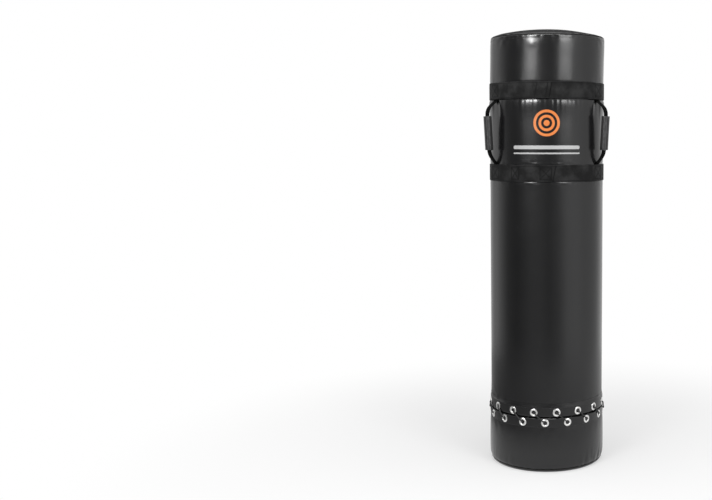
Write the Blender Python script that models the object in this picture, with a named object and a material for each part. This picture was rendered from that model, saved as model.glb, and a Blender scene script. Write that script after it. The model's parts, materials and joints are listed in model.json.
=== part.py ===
"""A tackling dummy: a foam column in a vinyl cover, closed by a laced base cap, with two strap handles.

Metres, +Z up. The origin is the centre of the base, on the floor, and the front faces -Y.
An azimuth is an angle about the dummy's axis, from the front, and grows towards +X.
A standoff is a distance outwards from the nominal cover. Each piece is its own object.
"""

import math

import bmesh
import bpy
from mathutils import Vector

INCH = 0.0254
GAP = 0.0003

# Overall form
HEIGHT = 54 * INCH
COVER_RADIUS = 0.1787
ROUND_SEGMENTS = 60
FOAM_SEGMENTS = 30
VINYL = 0.0012
TOP_SEAM_HEIGHT = 1.3434
TOP_SEAM_RADIUS = 0.1772

# Webbing bands, each 2 in wide, sewn round the cover
BAND_WIDTH = 2 * INCH
BAND_THICKNESS = 0.0026
BAND_INNER_RADIUS = 0.1790
UPPER_BAND_MIDDLE = 1.1779
LOWER_BAND_MIDDLE = 0.9272
COVER_RADIUS_AT_BAND = 0.1785

# Handles: a loop of 1 in webbing between the bands, with a padded grip
HANDLE_AZIMUTHS = {"left": -60.0, "right": 60.0}
STRAP_WIDTH = 1 * INCH
STRAP_THICKNESS = 0.0020
STRAP_FLAT_STANDOFF = 0.0013
STRAP_UNDER_BAND = 0.040
BAND_LIFT_OVER_STRAP = 0.0029
LIFT_HALF_ANGLE = 6.0
LIFT_FADE_ANGLE = 24.0
PIVOT_STANDOFF = 0.012
PIVOT_GAP = 0.0006
GRIP_TOP = (0.0312, 1.1010)
GRIP_BOTTOM = (0.0254, 0.9973)
GRIP_WIDTH = 0.035
GRIP_THICKNESS = 0.0125
GRIP_CORNER = 0.0030
GRIP_WALL = 0.0015
GRIP_LOBES = 2
GRIP_LOBE_PITCH = 0.0146
GRIP_LOBE_FOOT = 0.0128
GRIP_LOBE_TOP = 0.0100
GRIP_LOBE_HEIGHT = 0.0010

# Laced closure between the cover's hem and the base cap's hem
HEM_RADIUS = 0.1815
HEM_THICKNESS = 2 * VINYL
HEM_DEPTH = 0.030
COVER_EDGE = 0.1775
CAP_EDGE = 0.1715
UPPER_ROW = 0.1905
LOWER_ROW = 0.1580
GROMMETS = 16
LOWER_ROW_AZIMUTH = -1.5
EYELET_RADIUS = 0.0062
EYELET_WALL = 0.0007
FLANGE_RADIUS = 0.0120
FLANGE_THICKNESS = 0.0012
FLANGE_DISH = 0.0004
HEM_FLAT = FLANGE_RADIUS + 0.0010
EYELET_SIDES = 10
HOLE_FLARE = 0.0003
WASHER_RADIUS = 0.0115
WASHER_THICKNESS = 0.0012
WASHER_DISH = 0.0005
LACE_RADIUS = 0.0020
LACE_OUTSIDE = 0.1855
LACE_INSIDE = 0.1745

# Base
BASE_FLAT_RADIUS = 0.1710
BASE_SEAM_HEIGHT = 0.0098
BASE_SEAM_RADIUS = 0.1786
FOAM_SPLIT = 0.1275
GROOVE_RADIUS = 0.1694

FRONT_COVER = ("vinyl", (0.012, 0.012, 0.013, 1.0), 0.28, 0.0)
WEBBING = ("webbing", (0.018, 0.018, 0.019, 1.0), 0.85, 0.0)
GRIP_RUBBER = ("grip_rubber", (0.045, 0.045, 0.047, 1.0), 0.65, 0.0)
FOAM = ("foam", (0.55, 0.53, 0.47, 1.0), 0.95, 0.0)
NICKEL = ("nickel", (0.78, 0.77, 0.74, 1.0), 0.22, 1.0)
CORD = ("cord", (0.015, 0.015, 0.016, 1.0), 0.80, 0.0)


def clear_scene():
    """Remove whatever the scene holds."""
    for obj in list(bpy.data.objects):
        bpy.data.objects.remove(obj, do_unlink=True)


def make_material(node_name, look):
    """Give a piece its own Principled material."""
    kind, colour, roughness, metallic = look
    material = bpy.data.materials.new(f"{node_name}_{kind}")
    material.use_nodes = True
    shader = material.node_tree.nodes["Principled BSDF"]
    shader.inputs["Base Color"].default_value = colour
    shader.inputs["Roughness"].default_value = roughness
    shader.inputs["Metallic"].default_value = metallic
    material.diffuse_color = colour
    return material


def make_object(name, bm, look, sharp_angle=35.0):
    """Turn a bmesh into a named object with outward faces and smooth shading."""
    bmesh.ops.remove_doubles(bm, verts=bm.verts, dist=1e-6)
    bmesh.ops.recalc_face_normals(bm, faces=bm.faces)
    mesh = bpy.data.meshes.new(name)
    bm.to_mesh(mesh)
    bm.free()
    mesh.shade_smooth()
    mesh.set_sharp_from_angle(angle=math.radians(sharp_angle))
    obj = bpy.data.objects.new(name, mesh)
    if look:
        mesh.materials.append(make_material(name, look))
    bpy.context.scene.collection.objects.link(obj)
    return obj


def make_cutter(name, bm):
    """A helper solid that a Boolean takes away from another."""
    cutter = make_object(name, bm, None)
    cutter.hide_render = True
    cutter.display_type = "WIRE"
    return cutter


def cut(obj, cutter):
    """Subtract a cutter from an object."""
    modifier = obj.modifiers.new(f"cut_{cutter.name}", "BOOLEAN")
    modifier.operation = "DIFFERENCE"
    modifier.solver = "EXACT"
    modifier.object = cutter


def spin_profile(bm, profile, segments):
    """Spin (radius, height) points about Z. A profile that ends on the axis stays open there."""
    ring = [bm.verts.new((radius, 0.0, height)) for radius, height in profile]
    pairs = list(zip(ring, ring[1:]))
    if profile[0][0] > 0.0 or profile[-1][0] > 0.0:
        pairs.append((ring[-1], ring[0]))
    edges = [bm.edges.new(pair) for pair in pairs]
    bmesh.ops.spin(
        bm,
        geom=ring + edges,
        cent=(0.0, 0.0, 0.0),
        axis=(0.0, 0.0, 1.0),
        angle=math.tau,
        steps=segments,
        use_merge=True,
    )
    bmesh.ops.remove_doubles(bm, verts=bm.verts, dist=1e-6)
    bmesh.ops.dissolve_degenerate(bm, edges=bm.edges, dist=1e-7)


def turned(name, profile, segments, look):
    """A solid of revolution about the dummy's axis."""
    bm = bmesh.new()
    spin_profile(bm, profile, segments)
    return make_object(name, bm, look)


def extrude_outline(bm, outline, direction):
    """Extrude a closed outline of Vectors along a direction into a prism."""
    face = bm.faces.new([bm.verts.new(point) for point in outline])
    grown = bmesh.ops.extrude_face_region(bm, geom=[face])
    moved = [item for item in grown["geom"] if isinstance(item, bmesh.types.BMVert)]
    bmesh.ops.translate(bm, verts=moved, vec=direction)


def outward(azimuth):
    """Unit vector out of the dummy at an azimuth in degrees."""
    angle = math.radians(azimuth)
    return Vector((math.sin(angle), -math.cos(angle), 0.0))


def place(obj, azimuth, radius, height):
    """Put an object's origin at a radius and height, with its X axis pointing outwards."""
    obj.location = outward(azimuth) * radius + Vector((0.0, 0.0, height))
    obj.rotation_euler = (0.0, 0.0, math.radians(azimuth - 90.0))


def add_cover():
    """The vinyl tube, drawn in under each band, with a shoulder at the top and a folded hem below."""
    half_band = BAND_WIDTH / 2
    outer = [
        (TOP_SEAM_RADIUS, TOP_SEAM_HEIGHT),
        (0.1786, TOP_SEAM_HEIGHT - 0.003),
        (0.1790, TOP_SEAM_HEIGHT - 0.009),
        (0.1790, UPPER_BAND_MIDDLE + half_band + 0.030),
        (COVER_RADIUS_AT_BAND, UPPER_BAND_MIDDLE + half_band),
        (COVER_RADIUS_AT_BAND, UPPER_BAND_MIDDLE - half_band),
        (0.1790, (UPPER_BAND_MIDDLE + LOWER_BAND_MIDDLE) / 2),
        (COVER_RADIUS_AT_BAND, LOWER_BAND_MIDDLE + half_band),
        (COVER_RADIUS_AT_BAND, LOWER_BAND_MIDDLE - half_band),
        (COVER_RADIUS, 0.80),
        (0.1789, 0.26),
        (0.1798, UPPER_ROW + 0.025),
        (HEM_RADIUS, UPPER_ROW + HEM_FLAT),
        (HEM_RADIUS, COVER_EDGE),
    ]
    inner_radius = COVER_RADIUS_AT_BAND - VINYL
    inner = [
        (HEM_RADIUS - HEM_THICKNESS, COVER_EDGE),
        (HEM_RADIUS - HEM_THICKNESS, UPPER_ROW + HEM_FLAT),
        (0.1809 - HEM_THICKNESS, COVER_EDGE + HEM_DEPTH),
        (0.1808 - VINYL, COVER_EDGE + HEM_DEPTH + 0.001),
        (inner_radius, 0.26),
        (inner_radius, TOP_SEAM_HEIGHT - 0.012),
        (TOP_SEAM_RADIUS - VINYL, TOP_SEAM_HEIGHT),
    ]
    return turned("body_cover", outer + inner, ROUND_SEGMENTS, FRONT_COVER)


def add_top_panel():
    """The domed vinyl disc at the top, up to its seam with the cover."""
    rise = HEIGHT - TOP_SEAM_HEIGHT
    rings = [(0.0, 1.0), (0.055, 0.915), (0.110, 0.66), (0.150, 0.36), (0.170, 0.14)]
    rings.append((TOP_SEAM_RADIUS, 0.0145))
    outer = [(radius, TOP_SEAM_HEIGHT + rise * part) for radius, part in rings]
    inner = [(max(radius - VINYL * 0.5, 0.0), height - VINYL) for radius, height in outer[:-1]]
    rim = [(TOP_SEAM_RADIUS - VINYL, TOP_SEAM_HEIGHT + GAP)]
    return turned("top_panel", outer + rim + inner[::-1], ROUND_SEGMENTS, FRONT_COVER)


def strap_lift(azimuth):
    """How far a band stands out over the strap ends, from 0 to 1."""
    away = min(abs(azimuth - handle) for handle in HANDLE_AZIMUTHS.values())
    fade = (away - LIFT_HALF_ANGLE) / (LIFT_FADE_ANGLE - LIFT_HALF_ANGLE)
    fade = min(max(fade, 0.0), 1.0)
    return 0.5 + 0.5 * math.cos(math.pi * fade)


def add_band(name, middle):
    """A webbing band round the cover, which stands out where it crosses the strap ends."""
    bm = bmesh.new()
    low, high = middle - BAND_WIDTH / 2, middle + BAND_WIDTH / 2
    outer = BAND_INNER_RADIUS + BAND_THICKNESS
    profile = [(outer, high), (outer, low), (BAND_INNER_RADIUS, low), (BAND_INNER_RADIUS, high)]
    spin_profile(bm, profile, ROUND_SEGMENTS)
    for vert in bm.verts:
        azimuth = math.degrees(math.atan2(vert.co.x, -vert.co.y))
        out = Vector((vert.co.x, vert.co.y, 0.0)).normalized()
        vert.co += out * BAND_LIFT_OVER_STRAP * strap_lift(azimuth)
    return make_object(name, bm, WEBBING)


def add_cap():
    """The side of the base cap, fuller than the cover, drawn in at its base seam and at its hem."""
    outer = [
        (HEM_RADIUS, CAP_EDGE),
        (HEM_RADIUS, LOWER_ROW - HEM_FLAT),
        (0.1827, 0.115),
        (0.1832, 0.070),
        (0.1828, 0.045),
        (0.1812, 0.022),
        (BASE_SEAM_RADIUS, BASE_SEAM_HEIGHT),
    ]
    inner = [
        (BASE_SEAM_RADIUS - VINYL, BASE_SEAM_HEIGHT),
        (0.1814 - VINYL, 0.025),
        (0.1831 - VINYL, 0.060),
        (0.1817 - VINYL, CAP_EDGE - HEM_DEPTH - 0.001),
        (0.1816 - HEM_THICKNESS, CAP_EDGE - HEM_DEPTH),
        (HEM_RADIUS - HEM_THICKNESS, LOWER_ROW - HEM_FLAT),
        (HEM_RADIUS - HEM_THICKNESS, CAP_EDGE),
    ]
    return turned("cap_wall", outer + inner, ROUND_SEGMENTS, FRONT_COVER)


def add_base_panel():
    """The vinyl disc under the dummy, flat on the floor and turned up to the cap's seam."""
    outer = [
        (BASE_SEAM_RADIUS, BASE_SEAM_HEIGHT - GAP),
        (0.1765, 0.0040),
        (BASE_FLAT_RADIUS, 0.0),
        (0.0, 0.0),
    ]
    inner = [
        (0.0, VINYL),
        (BASE_FLAT_RADIUS - VINYL * 0.5, VINYL),
        (0.1755, 0.0047),
        (BASE_SEAM_RADIUS - VINYL, BASE_SEAM_HEIGHT - GAP),
    ]
    return turned("base_panel", outer[::-1] + inner[::-1], ROUND_SEGMENTS, FRONT_COVER)


def add_foam():
    """The foam column, squeezed behind the lacing, on the firmer disc that fills the cap."""
    inside_cover = COVER_RADIUS_AT_BAND - VINYL - 0.0005
    column = [
        (0.0, HEIGHT - VINYL - 0.0006),
        (0.110, TOP_SEAM_HEIGHT + 0.0165),
        (0.160, TOP_SEAM_HEIGHT + 0.0040),
        (inside_cover, TOP_SEAM_HEIGHT - 0.016),
        (inside_cover, COVER_EDGE + HEM_DEPTH + 0.012),
        (GROOVE_RADIUS, COVER_EDGE + HEM_DEPTH + 0.004),
        (GROOVE_RADIUS, FOAM_SPLIT + GAP),
        (0.0, FOAM_SPLIT + GAP),
    ]
    turned("foam_column", column, FOAM_SEGMENTS, FOAM)
    disc = [
        (0.0, FOAM_SPLIT),
        (0.1745, FOAM_SPLIT),
        (0.1795, FOAM_SPLIT - 0.018),
        (0.1805, 0.055),
        (0.1785, 0.024),
        (0.1690, VINYL + 0.0006),
        (0.0, VINYL + 0.0006),
    ]
    turned("foam_base_disc", disc, FOAM_SEGMENTS, FOAM)


def add_tongue():
    """The vinyl strip between the lacing and the foam."""
    inner, outer = GROOVE_RADIUS + 0.0004, GROOVE_RADIUS + 0.0016
    low, high = LOWER_ROW - 0.018, UPPER_ROW + 0.018
    profile = [(outer, high), (outer, low), (inner, low), (inner, high)]
    return turned("lace_tongue", profile, FOAM_SEGMENTS, FRONT_COVER)


def row_azimuths(upper):
    """Azimuths of one row's grommets. The upper row sits half a pitch further round."""
    pitch = 360.0 / GROMMETS
    start = LOWER_ROW_AZIMUTH + (pitch / 2 if upper else 0.0)
    return [start + pitch * index for index in range(GROMMETS)]


def spin_about_outward(bm, azimuth, height, profile, sides):
    """Spin (offset, radius) points about the outward line at an azimuth and height."""
    out = outward(azimuth)
    up = Vector((0.0, 0.0, 1.0))
    centre = up * height
    ring = [bm.verts.new(centre + out * radius + up * offset) for offset, radius in profile]
    edges = [bm.edges.new(pair) for pair in zip(ring, ring[1:] + ring[:1])]
    bmesh.ops.spin(
        bm,
        geom=ring + edges,
        cent=centre,
        axis=out,
        angle=math.tau,
        steps=sides,
        use_merge=True,
    )


def make_grommet_mesh():
    """A clinched grommet about X, from the hem's outer face: flange, barrel and washer in one."""
    barrel = EYELET_RADIUS + EYELET_WALL
    flange_foot, washer_face = GAP, -HEM_THICKNESS - 2 * GAP
    washer_rim = washer_face - WASHER_DISH
    profile = [
        (EYELET_RADIUS, washer_face - WASHER_THICKNESS),
        (EYELET_RADIUS + HOLE_FLARE, flange_foot + FLANGE_THICKNESS),
        (FLANGE_RADIUS, flange_foot + FLANGE_THICKNESS * 0.4),
        (FLANGE_RADIUS, flange_foot),
        (barrel, flange_foot + FLANGE_DISH),
        (barrel, washer_face),
        (WASHER_RADIUS, washer_rim),
        (WASHER_RADIUS, washer_rim - WASHER_THICKNESS * 0.4),
    ]
    bm = bmesh.new()
    spin_about_outward(bm, 90.0, 0.0, profile, EYELET_SIDES)
    return bm


def add_row(label, upper, wall):
    """One row of grommets, and the holes that they fill in their hem."""
    height = UPPER_ROW if upper else LOWER_ROW
    inner_end, outer_end = HEM_RADIUS - HEM_THICKNESS - 0.004, HEM_RADIUS + 0.004
    hole_radius = EYELET_RADIUS + EYELET_WALL + 2 * GAP
    rod = [(0.0, inner_end), (hole_radius, inner_end), (hole_radius, outer_end), (0.0, outer_end)]
    holes = bmesh.new()
    for index, azimuth in enumerate(row_azimuths(upper), start=1):
        grommet = make_object(f"{label}_grommet_{index:02d}", make_grommet_mesh(), NICKEL)
        place(grommet, azimuth, HEM_RADIUS, height)
        spin_about_outward(holes, azimuth, height, rod, EYELET_SIDES)
    bmesh.ops.dissolve_degenerate(holes, edges=holes.edges, dist=1e-7)
    cut(wall, make_cutter(f"{label}_holes", holes))


def lace_point(azimuth, height, radius):
    """A point of the lace on a cylinder about the dummy's axis."""
    return outward(azimuth) * radius + Vector((0.0, 0.0, height))


def lace_route():
    """The lace's route: out of an upper hole, down to the next lower hole, in, and up to the next."""
    step = 180.0 / GROMMETS
    rise = UPPER_ROW - LOWER_ROW
    run = math.radians(step) * HEM_RADIUS
    length = math.hypot(run, rise)
    near, far = 0.0034 / length, 0.0072 / length
    hem_middle = HEM_RADIUS - HEM_THICKNESS / 2
    lip_outside, lip_inside = LACE_OUTSIDE - 0.0014, LACE_INSIDE + 0.0014
    middle_outside = LACE_OUTSIDE * math.cos(math.radians(step / 2)) + 0.0001
    start = LOWER_ROW_AZIMUTH + step * (GROMMETS + 1)
    points = [lace_point(start - step * 0.52, (UPPER_ROW + LOWER_ROW) / 2, LACE_INSIDE)]
    for hole in range(2 * GROMMETS):
        azimuth = start + step * hole
        downwards = hole % 2 == 0
        height = UPPER_ROW if downwards else LOWER_ROW
        lean = -rise if downwards else rise
        before, after = (LACE_INSIDE, LACE_OUTSIDE) if downwards else (LACE_OUTSIDE, LACE_INSIDE)
        lip_before, lip_after = (lip_inside, lip_outside) if downwards else (lip_outside, lip_inside)
        points += [
            lace_point(azimuth - step * far, height + lean * far, before),
            lace_point(azimuth - step * near, height + lean * near, lip_before),
            lace_point(azimuth, height + lean * near * 0.35, hem_middle),
            lace_point(azimuth + step * near, height + lean * near, lip_after),
            lace_point(azimuth + step * far, height + lean * far, after),
        ]
        if hole < 2 * GROMMETS - 1:
            middle = middle_outside if downwards else LACE_INSIDE - 0.0003
            points.append(lace_point(azimuth + step / 2, (UPPER_ROW + LOWER_ROW) / 2, middle))
    last = start + step * (2 * GROMMETS - 1)
    points.append(lace_point(last + step * 0.24, LOWER_ROW + rise * 0.24, LACE_INSIDE))
    return points


def least_self_gap(points, diameter, skip=4):
    """The least clear distance between stretches of the lace that aren't neighbours."""
    least = math.inf
    for index, point in enumerate(points):
        for other in points[index + skip:]:
            least = min(least, (point - other).length)
    return least - diameter


def add_lace():
    """One unbroken cord through both rows of grommets."""
    points = lace_route()
    print(f"lace: least gap to itself {1000 * least_self_gap(points, 2 * LACE_RADIUS):.2f} mm")
    length = sum((b - a).length for a, b in zip(points, points[1:]))
    print(f"lace: length {length:.3f} m")
    curve = bpy.data.curves.new("lace", "CURVE")
    curve.dimensions = "3D"
    curve.bevel_depth = LACE_RADIUS
    curve.bevel_resolution = 1
    curve.use_fill_caps = True
    spline = curve.splines.new("POLY")
    spline.points.add(len(points) - 1)
    for target, point in zip(spline.points, points):
        target.co = (*point, 1.0)
    curve.materials.append(make_material("lace", CORD))
    obj = bpy.data.objects.new("lace", curve)
    bpy.context.scene.collection.objects.link(obj)
    return obj


def grip_direction():
    """Unit (standoff, height) vector up the grip, which leans out at its top."""
    return (Vector(GRIP_TOP) - Vector(GRIP_BOTTOM)).normalized()


def leg_controls(upper):
    """Bezier control points of a strap leg, from under its band to the grip's end."""
    lean = grip_direction()
    if upper:
        edge = UPPER_BAND_MIDDLE - BAND_WIDTH / 2
        start, end = Vector((STRAP_FLAT_STANDOFF, edge - 0.0005)), Vector(GRIP_TOP) + lean * 0.002
        return [start, start - Vector((0.0, 0.0119)), end + lean * 0.0335, end]
    edge = LOWER_BAND_MIDDLE + BAND_WIDTH / 2
    start, end = Vector((STRAP_FLAT_STANDOFF, edge + 0.0005)), Vector(GRIP_BOTTOM) - lean * 0.002
    return [start, start + Vector((0.0, 0.004)), end - lean * 0.0215, end]


def bezier(controls, t):
    """A point on a cubic Bezier curve."""
    a, b, c, d = controls
    u = 1.0 - t
    return a * u**3 + b * (3 * u * u * t) + c * (3 * u * t * t) + d * t**3


def parameter_where(controls, axis, value):
    """The curve parameter at which one coordinate, which only grows or only falls, has a value."""
    low, high = 0.0, 1.0
    rising = controls[3][axis] > controls[0][axis]
    for _ in range(50):
        middle = (low + high) / 2
        if (bezier(controls, middle)[axis] < value) == rising:
            low = middle
        else:
            high = middle
    return (low + high) / 2


def leg_split(upper):
    """Height at which a leg crosses the pivot's standoff: the strap bends there."""
    controls = leg_controls(upper)
    return bezier(controls, parameter_where(controls, 0, PIVOT_STANDOFF)).y


def leg_part(upper, from_band, steps=5):
    """Points of a leg between its band and the pivot's height, or from there to the grip."""
    controls = leg_controls(upper)
    half_gap = PIVOT_GAP / 2 * (1 if upper == from_band else -1)
    split = parameter_where(controls, 1, leg_split(upper) + half_gap)
    first, last = (0.0, split) if from_band else (split, 1.0)
    return [bezier(controls, first + (last - first) * index / steps) for index in range(steps + 1)]


def strap_outline(path, level_ends):
    """Outline of a strap of even thickness along a path. A level end is cut flat, for the pivot."""
    half = STRAP_THICKNESS / 2
    left, right = [], []
    for index, point in enumerate(path):
        ahead = path[min(index + 1, len(path) - 1)]
        behind = path[max(index - 1, 0)]
        along = (ahead - behind).normalized()
        side = Vector((along.y, -along.x)) * half
        if index in level_ends:
            side = Vector((math.copysign(half / abs(along.y), side.x), 0.0))
        left.append(point + side)
        right.append(point - side)
    return left + right[::-1]


def add_strap(name, path, level_ends, origin):
    """A flat strap along a path of (standoff, height), about an origin on the same plane."""
    bm = bmesh.new()
    half_width = STRAP_WIDTH / 2
    outline = strap_outline(path, level_ends)
    flat = [Vector((x - origin[0], -half_width, z - origin[1])) for x, z in outline]
    extrude_outline(bm, flat, Vector((0.0, STRAP_WIDTH, 0.0)))
    return make_object(name, bm, WEBBING)


def add_strap_end(side, azimuth, upper):
    """A fixed strap end: flat under its band, then bent out as far as the pivot."""
    level = "upper" if upper else "lower"
    middle = UPPER_BAND_MIDDLE if upper else LOWER_BAND_MIDDLE
    bend = leg_part(upper, from_band=True)
    tuck = STRAP_UNDER_BAND if upper else -STRAP_UNDER_BAND
    path = [Vector((STRAP_FLAT_STANDOFF, bend[0].y + tuck))] + bend
    end = add_strap(f"{side}_{level}_strap_end", path, {len(path) - 1}, (0.0, middle))
    place(end, azimuth, COVER_RADIUS, middle)
    return end


def rounded_rectangle(thickness, width, corner, steps=2):
    """Corner arcs of a rounded rectangle, anticlockwise from the outer face's far end."""
    points = []
    for quarter in range(4):
        out = 1 if quarter in (0, 3) else -1
        across = 1 if quarter in (0, 1) else -1
        centre = Vector((out * (thickness / 2 - corner), across * (width / 2 - corner)))
        for step in range(steps + 1):
            angle = math.radians(90.0 * quarter + 90.0 * step / steps)
            points.append(centre + Vector((math.cos(angle), math.sin(angle))) * corner)
    return points


def grip_outline():
    """The grip's section: a rounded rectangle whose outer face has two lobes along it."""
    face = GRIP_THICKNESS / 2
    foot, top = GRIP_LOBE_FOOT / 2, GRIP_LOBE_TOP / 2
    lobes = []
    for index in range(GRIP_LOBES):
        centre = (index - (GRIP_LOBES - 1) / 2) * GRIP_LOBE_PITCH
        lobes += [
            Vector((face, centre - foot)),
            Vector((face + GRIP_LOBE_HEIGHT, centre - top)),
            Vector((face + GRIP_LOBE_HEIGHT, centre + top)),
            Vector((face, centre + foot)),
        ]
    return rounded_rectangle(GRIP_THICKNESS, GRIP_WIDTH, GRIP_CORNER) + lobes


def prism(outline, length):
    """A bmesh prism along Z, centred on its origin."""
    bm = bmesh.new()
    extrude_outline(bm, [Vector((x, y, -length / 2)) for x, y in outline], Vector((0.0, 0.0, length)))
    return bm


def add_grip(side, pivot):
    """The padded grip: a lobed sleeve round a foam core, which is slotted for the strap."""
    top, bottom = Vector(GRIP_TOP), Vector(GRIP_BOTTOM)
    length = (top - bottom).length
    middle = (top + bottom) / 2
    lean = grip_direction()
    bore = GRIP_THICKNESS - 2 * GRIP_WALL, GRIP_WIDTH - 2 * GRIP_WALL
    core_size = bore[0] - 2 * GAP, bore[1] - 2 * GAP
    slot = STRAP_THICKNESS + 2 * GAP, STRAP_WIDTH + 2 * GAP
    inner_corner = GRIP_CORNER - GRIP_WALL
    sleeve = make_object(f"{side}_grip_sleeve", prism(grip_outline(), length), GRIP_RUBBER)
    core = make_object(
        f"{side}_grip_core", prism(rounded_rectangle(*core_size, inner_corner), length - 0.004), FOAM
    )
    bore_bm = prism(rounded_rectangle(*bore, inner_corner), length * 1.2)
    bore_cutter = make_cutter(f"{side}_grip_bore", bore_bm)
    half = Vector(slot) / 2
    corners = [(-half.x, -half.y), (half.x, -half.y), (half.x, half.y), (-half.x, half.y)]
    slot_cutter = make_cutter(f"{side}_grip_slot", prism(corners, length * 1.2))
    cut(sleeve, bore_cutter)
    cut(core, slot_cutter)
    for piece in (sleeve, core, bore_cutter, slot_cutter):
        piece.parent = pivot
        piece.location = (middle.x - PIVOT_STANDOFF, 0.0, middle.y - pivot.location.z)
        piece.rotation_euler = (0.0, math.atan2(lean.x, lean.y), 0.0)


def add_handle(side, azimuth):
    """One handle: two fixed strap ends, and a loop and grip that swing about an upright axis."""
    add_strap_end(side, azimuth, upper=True)
    add_strap_end(side, azimuth, upper=False)
    pivot = bpy.data.objects.new(f"{side}_handle_pivot", None)
    bpy.context.scene.collection.objects.link(pivot)
    pivot_height = (leg_split(True) + leg_split(False)) / 2
    place(pivot, azimuth, COVER_RADIUS + PIVOT_STANDOFF, pivot_height)
    path = leg_part(True, from_band=False, steps=7) + leg_part(False, from_band=False, steps=6)[::-1]
    ends = {0, len(path) - 1}
    loop = add_strap(f"{side}_handle_loop", path, ends, (PIVOT_STANDOFF, pivot_height))
    loop.parent = pivot
    add_grip(side, pivot)
    print(f"{side} handle pivot: {tuple(round(value, 5) for value in pivot.location)}")


def main():
    clear_scene()
    cover = add_cover()
    add_top_panel()
    add_band("upper_band", UPPER_BAND_MIDDLE)
    add_band("lower_band", LOWER_BAND_MIDDLE)
    cap = add_cap()
    add_base_panel()
    add_foam()
    add_tongue()
    add_row("upper", True, cover)
    add_row("lower", False, cap)
    add_lace()
    for side, azimuth in HANDLE_AZIMUTHS.items():
        add_handle(side, azimuth)


main()
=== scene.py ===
"""The looks of a tackling dummy: a laced vinyl cover on foam, two webbing bands and two strap handles.

Metres, +Z up, with the front facing -Y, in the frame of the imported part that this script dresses.
An azimuth is an angle in degrees about the dummy's axis, from the front, and grows towards +X.
A standoff is a distance outwards from the nominal cover.
"""

import functools
import json
import logging
import math
from collections.abc import Callable, Mapping, Sequence
from dataclasses import dataclass
from enum import Enum
from typing import Any

import bmesh
import bpy
import numpy as np
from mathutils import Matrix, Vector


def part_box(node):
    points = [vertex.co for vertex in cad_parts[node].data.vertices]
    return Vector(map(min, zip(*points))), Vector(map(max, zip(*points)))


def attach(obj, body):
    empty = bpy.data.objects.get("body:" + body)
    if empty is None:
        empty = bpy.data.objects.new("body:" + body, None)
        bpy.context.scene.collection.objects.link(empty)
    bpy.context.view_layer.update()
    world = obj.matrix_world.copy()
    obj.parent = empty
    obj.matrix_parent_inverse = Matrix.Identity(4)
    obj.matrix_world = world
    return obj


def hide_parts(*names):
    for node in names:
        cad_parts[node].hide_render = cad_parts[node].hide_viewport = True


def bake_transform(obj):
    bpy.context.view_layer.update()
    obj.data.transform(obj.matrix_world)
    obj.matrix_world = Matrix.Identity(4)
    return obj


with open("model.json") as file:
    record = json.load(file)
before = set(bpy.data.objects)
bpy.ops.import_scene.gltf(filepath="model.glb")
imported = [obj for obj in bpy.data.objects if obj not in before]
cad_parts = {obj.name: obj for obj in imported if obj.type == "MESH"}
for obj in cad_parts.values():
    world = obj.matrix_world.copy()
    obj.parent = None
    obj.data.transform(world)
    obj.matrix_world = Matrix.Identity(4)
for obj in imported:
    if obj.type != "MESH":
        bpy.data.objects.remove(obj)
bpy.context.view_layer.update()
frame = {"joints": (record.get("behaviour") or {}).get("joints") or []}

log = logging.getLogger("tackling_dummy")

Point = tuple[float, float]
Colour = tuple[float, float, float]
Object = bpy.types.Object
Material = bpy.types.Material

INCH = 0.0254
VINYL = 0.0012
COVER_RADIUS = 0.1787
HEM_RADIUS = 0.1815
HEM_THICKNESS = 2 * VINYL
HEM_FLAT = 0.0130
SMOOTH_ANGLE = 40.0
ROW_GROWTH = 0.30
PHOTO_WIDTH, PHOTO_HEIGHT = 712, 500


class Side(Enum):
    """The two handles."""

    LEFT = "left"
    RIGHT = "right"


def linear(red: int, green: int, blue: int) -> Colour:
    """Turn a screen colour of 0 to 255 into the linear light that a shader takes.

    Args:
        red, green, blue: the screen colour's parts.

    Returns:
        The three linear parts, from 0 to 1.
    """
    parts = [part / 255 for part in (red, green, blue)]
    return tuple(part / 12.92 if part <= 0.04045 else ((part + 0.055) / 1.055) ** 2.4 for part in parts)


def operator(operation: str, swapped: bool = False) -> Callable[["Wire", "Value"], "Wire"]:
    """A Python operator for wires.

    Args:
        operation: the Math node's operation.
        swapped: put the other value first, for a number on the left.

    Returns:
        The method, which adds the node.
    """

    def apply(self: "Wire", other: "Value") -> "Wire":
        return self.graph.maths(operation, *((other, self) if swapped else (self, other)))

    return apply


class Wire:
    """One output of a node, on which Python arithmetic adds Math nodes."""

    def __init__(self, graph: "Graph", socket: bpy.types.NodeSocket) -> None:
        """Keep the socket and the graph that it belongs to."""
        self.graph = graph
        self.socket = socket

    __add__, __radd__ = operator("ADD"), operator("ADD", swapped=True)
    __sub__, __rsub__ = operator("SUBTRACT"), operator("SUBTRACT", swapped=True)
    __mul__, __rmul__ = operator("MULTIPLY"), operator("MULTIPLY", swapped=True)
    __truediv__ = operator("DIVIDE")


Value = Wire | float | int


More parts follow.
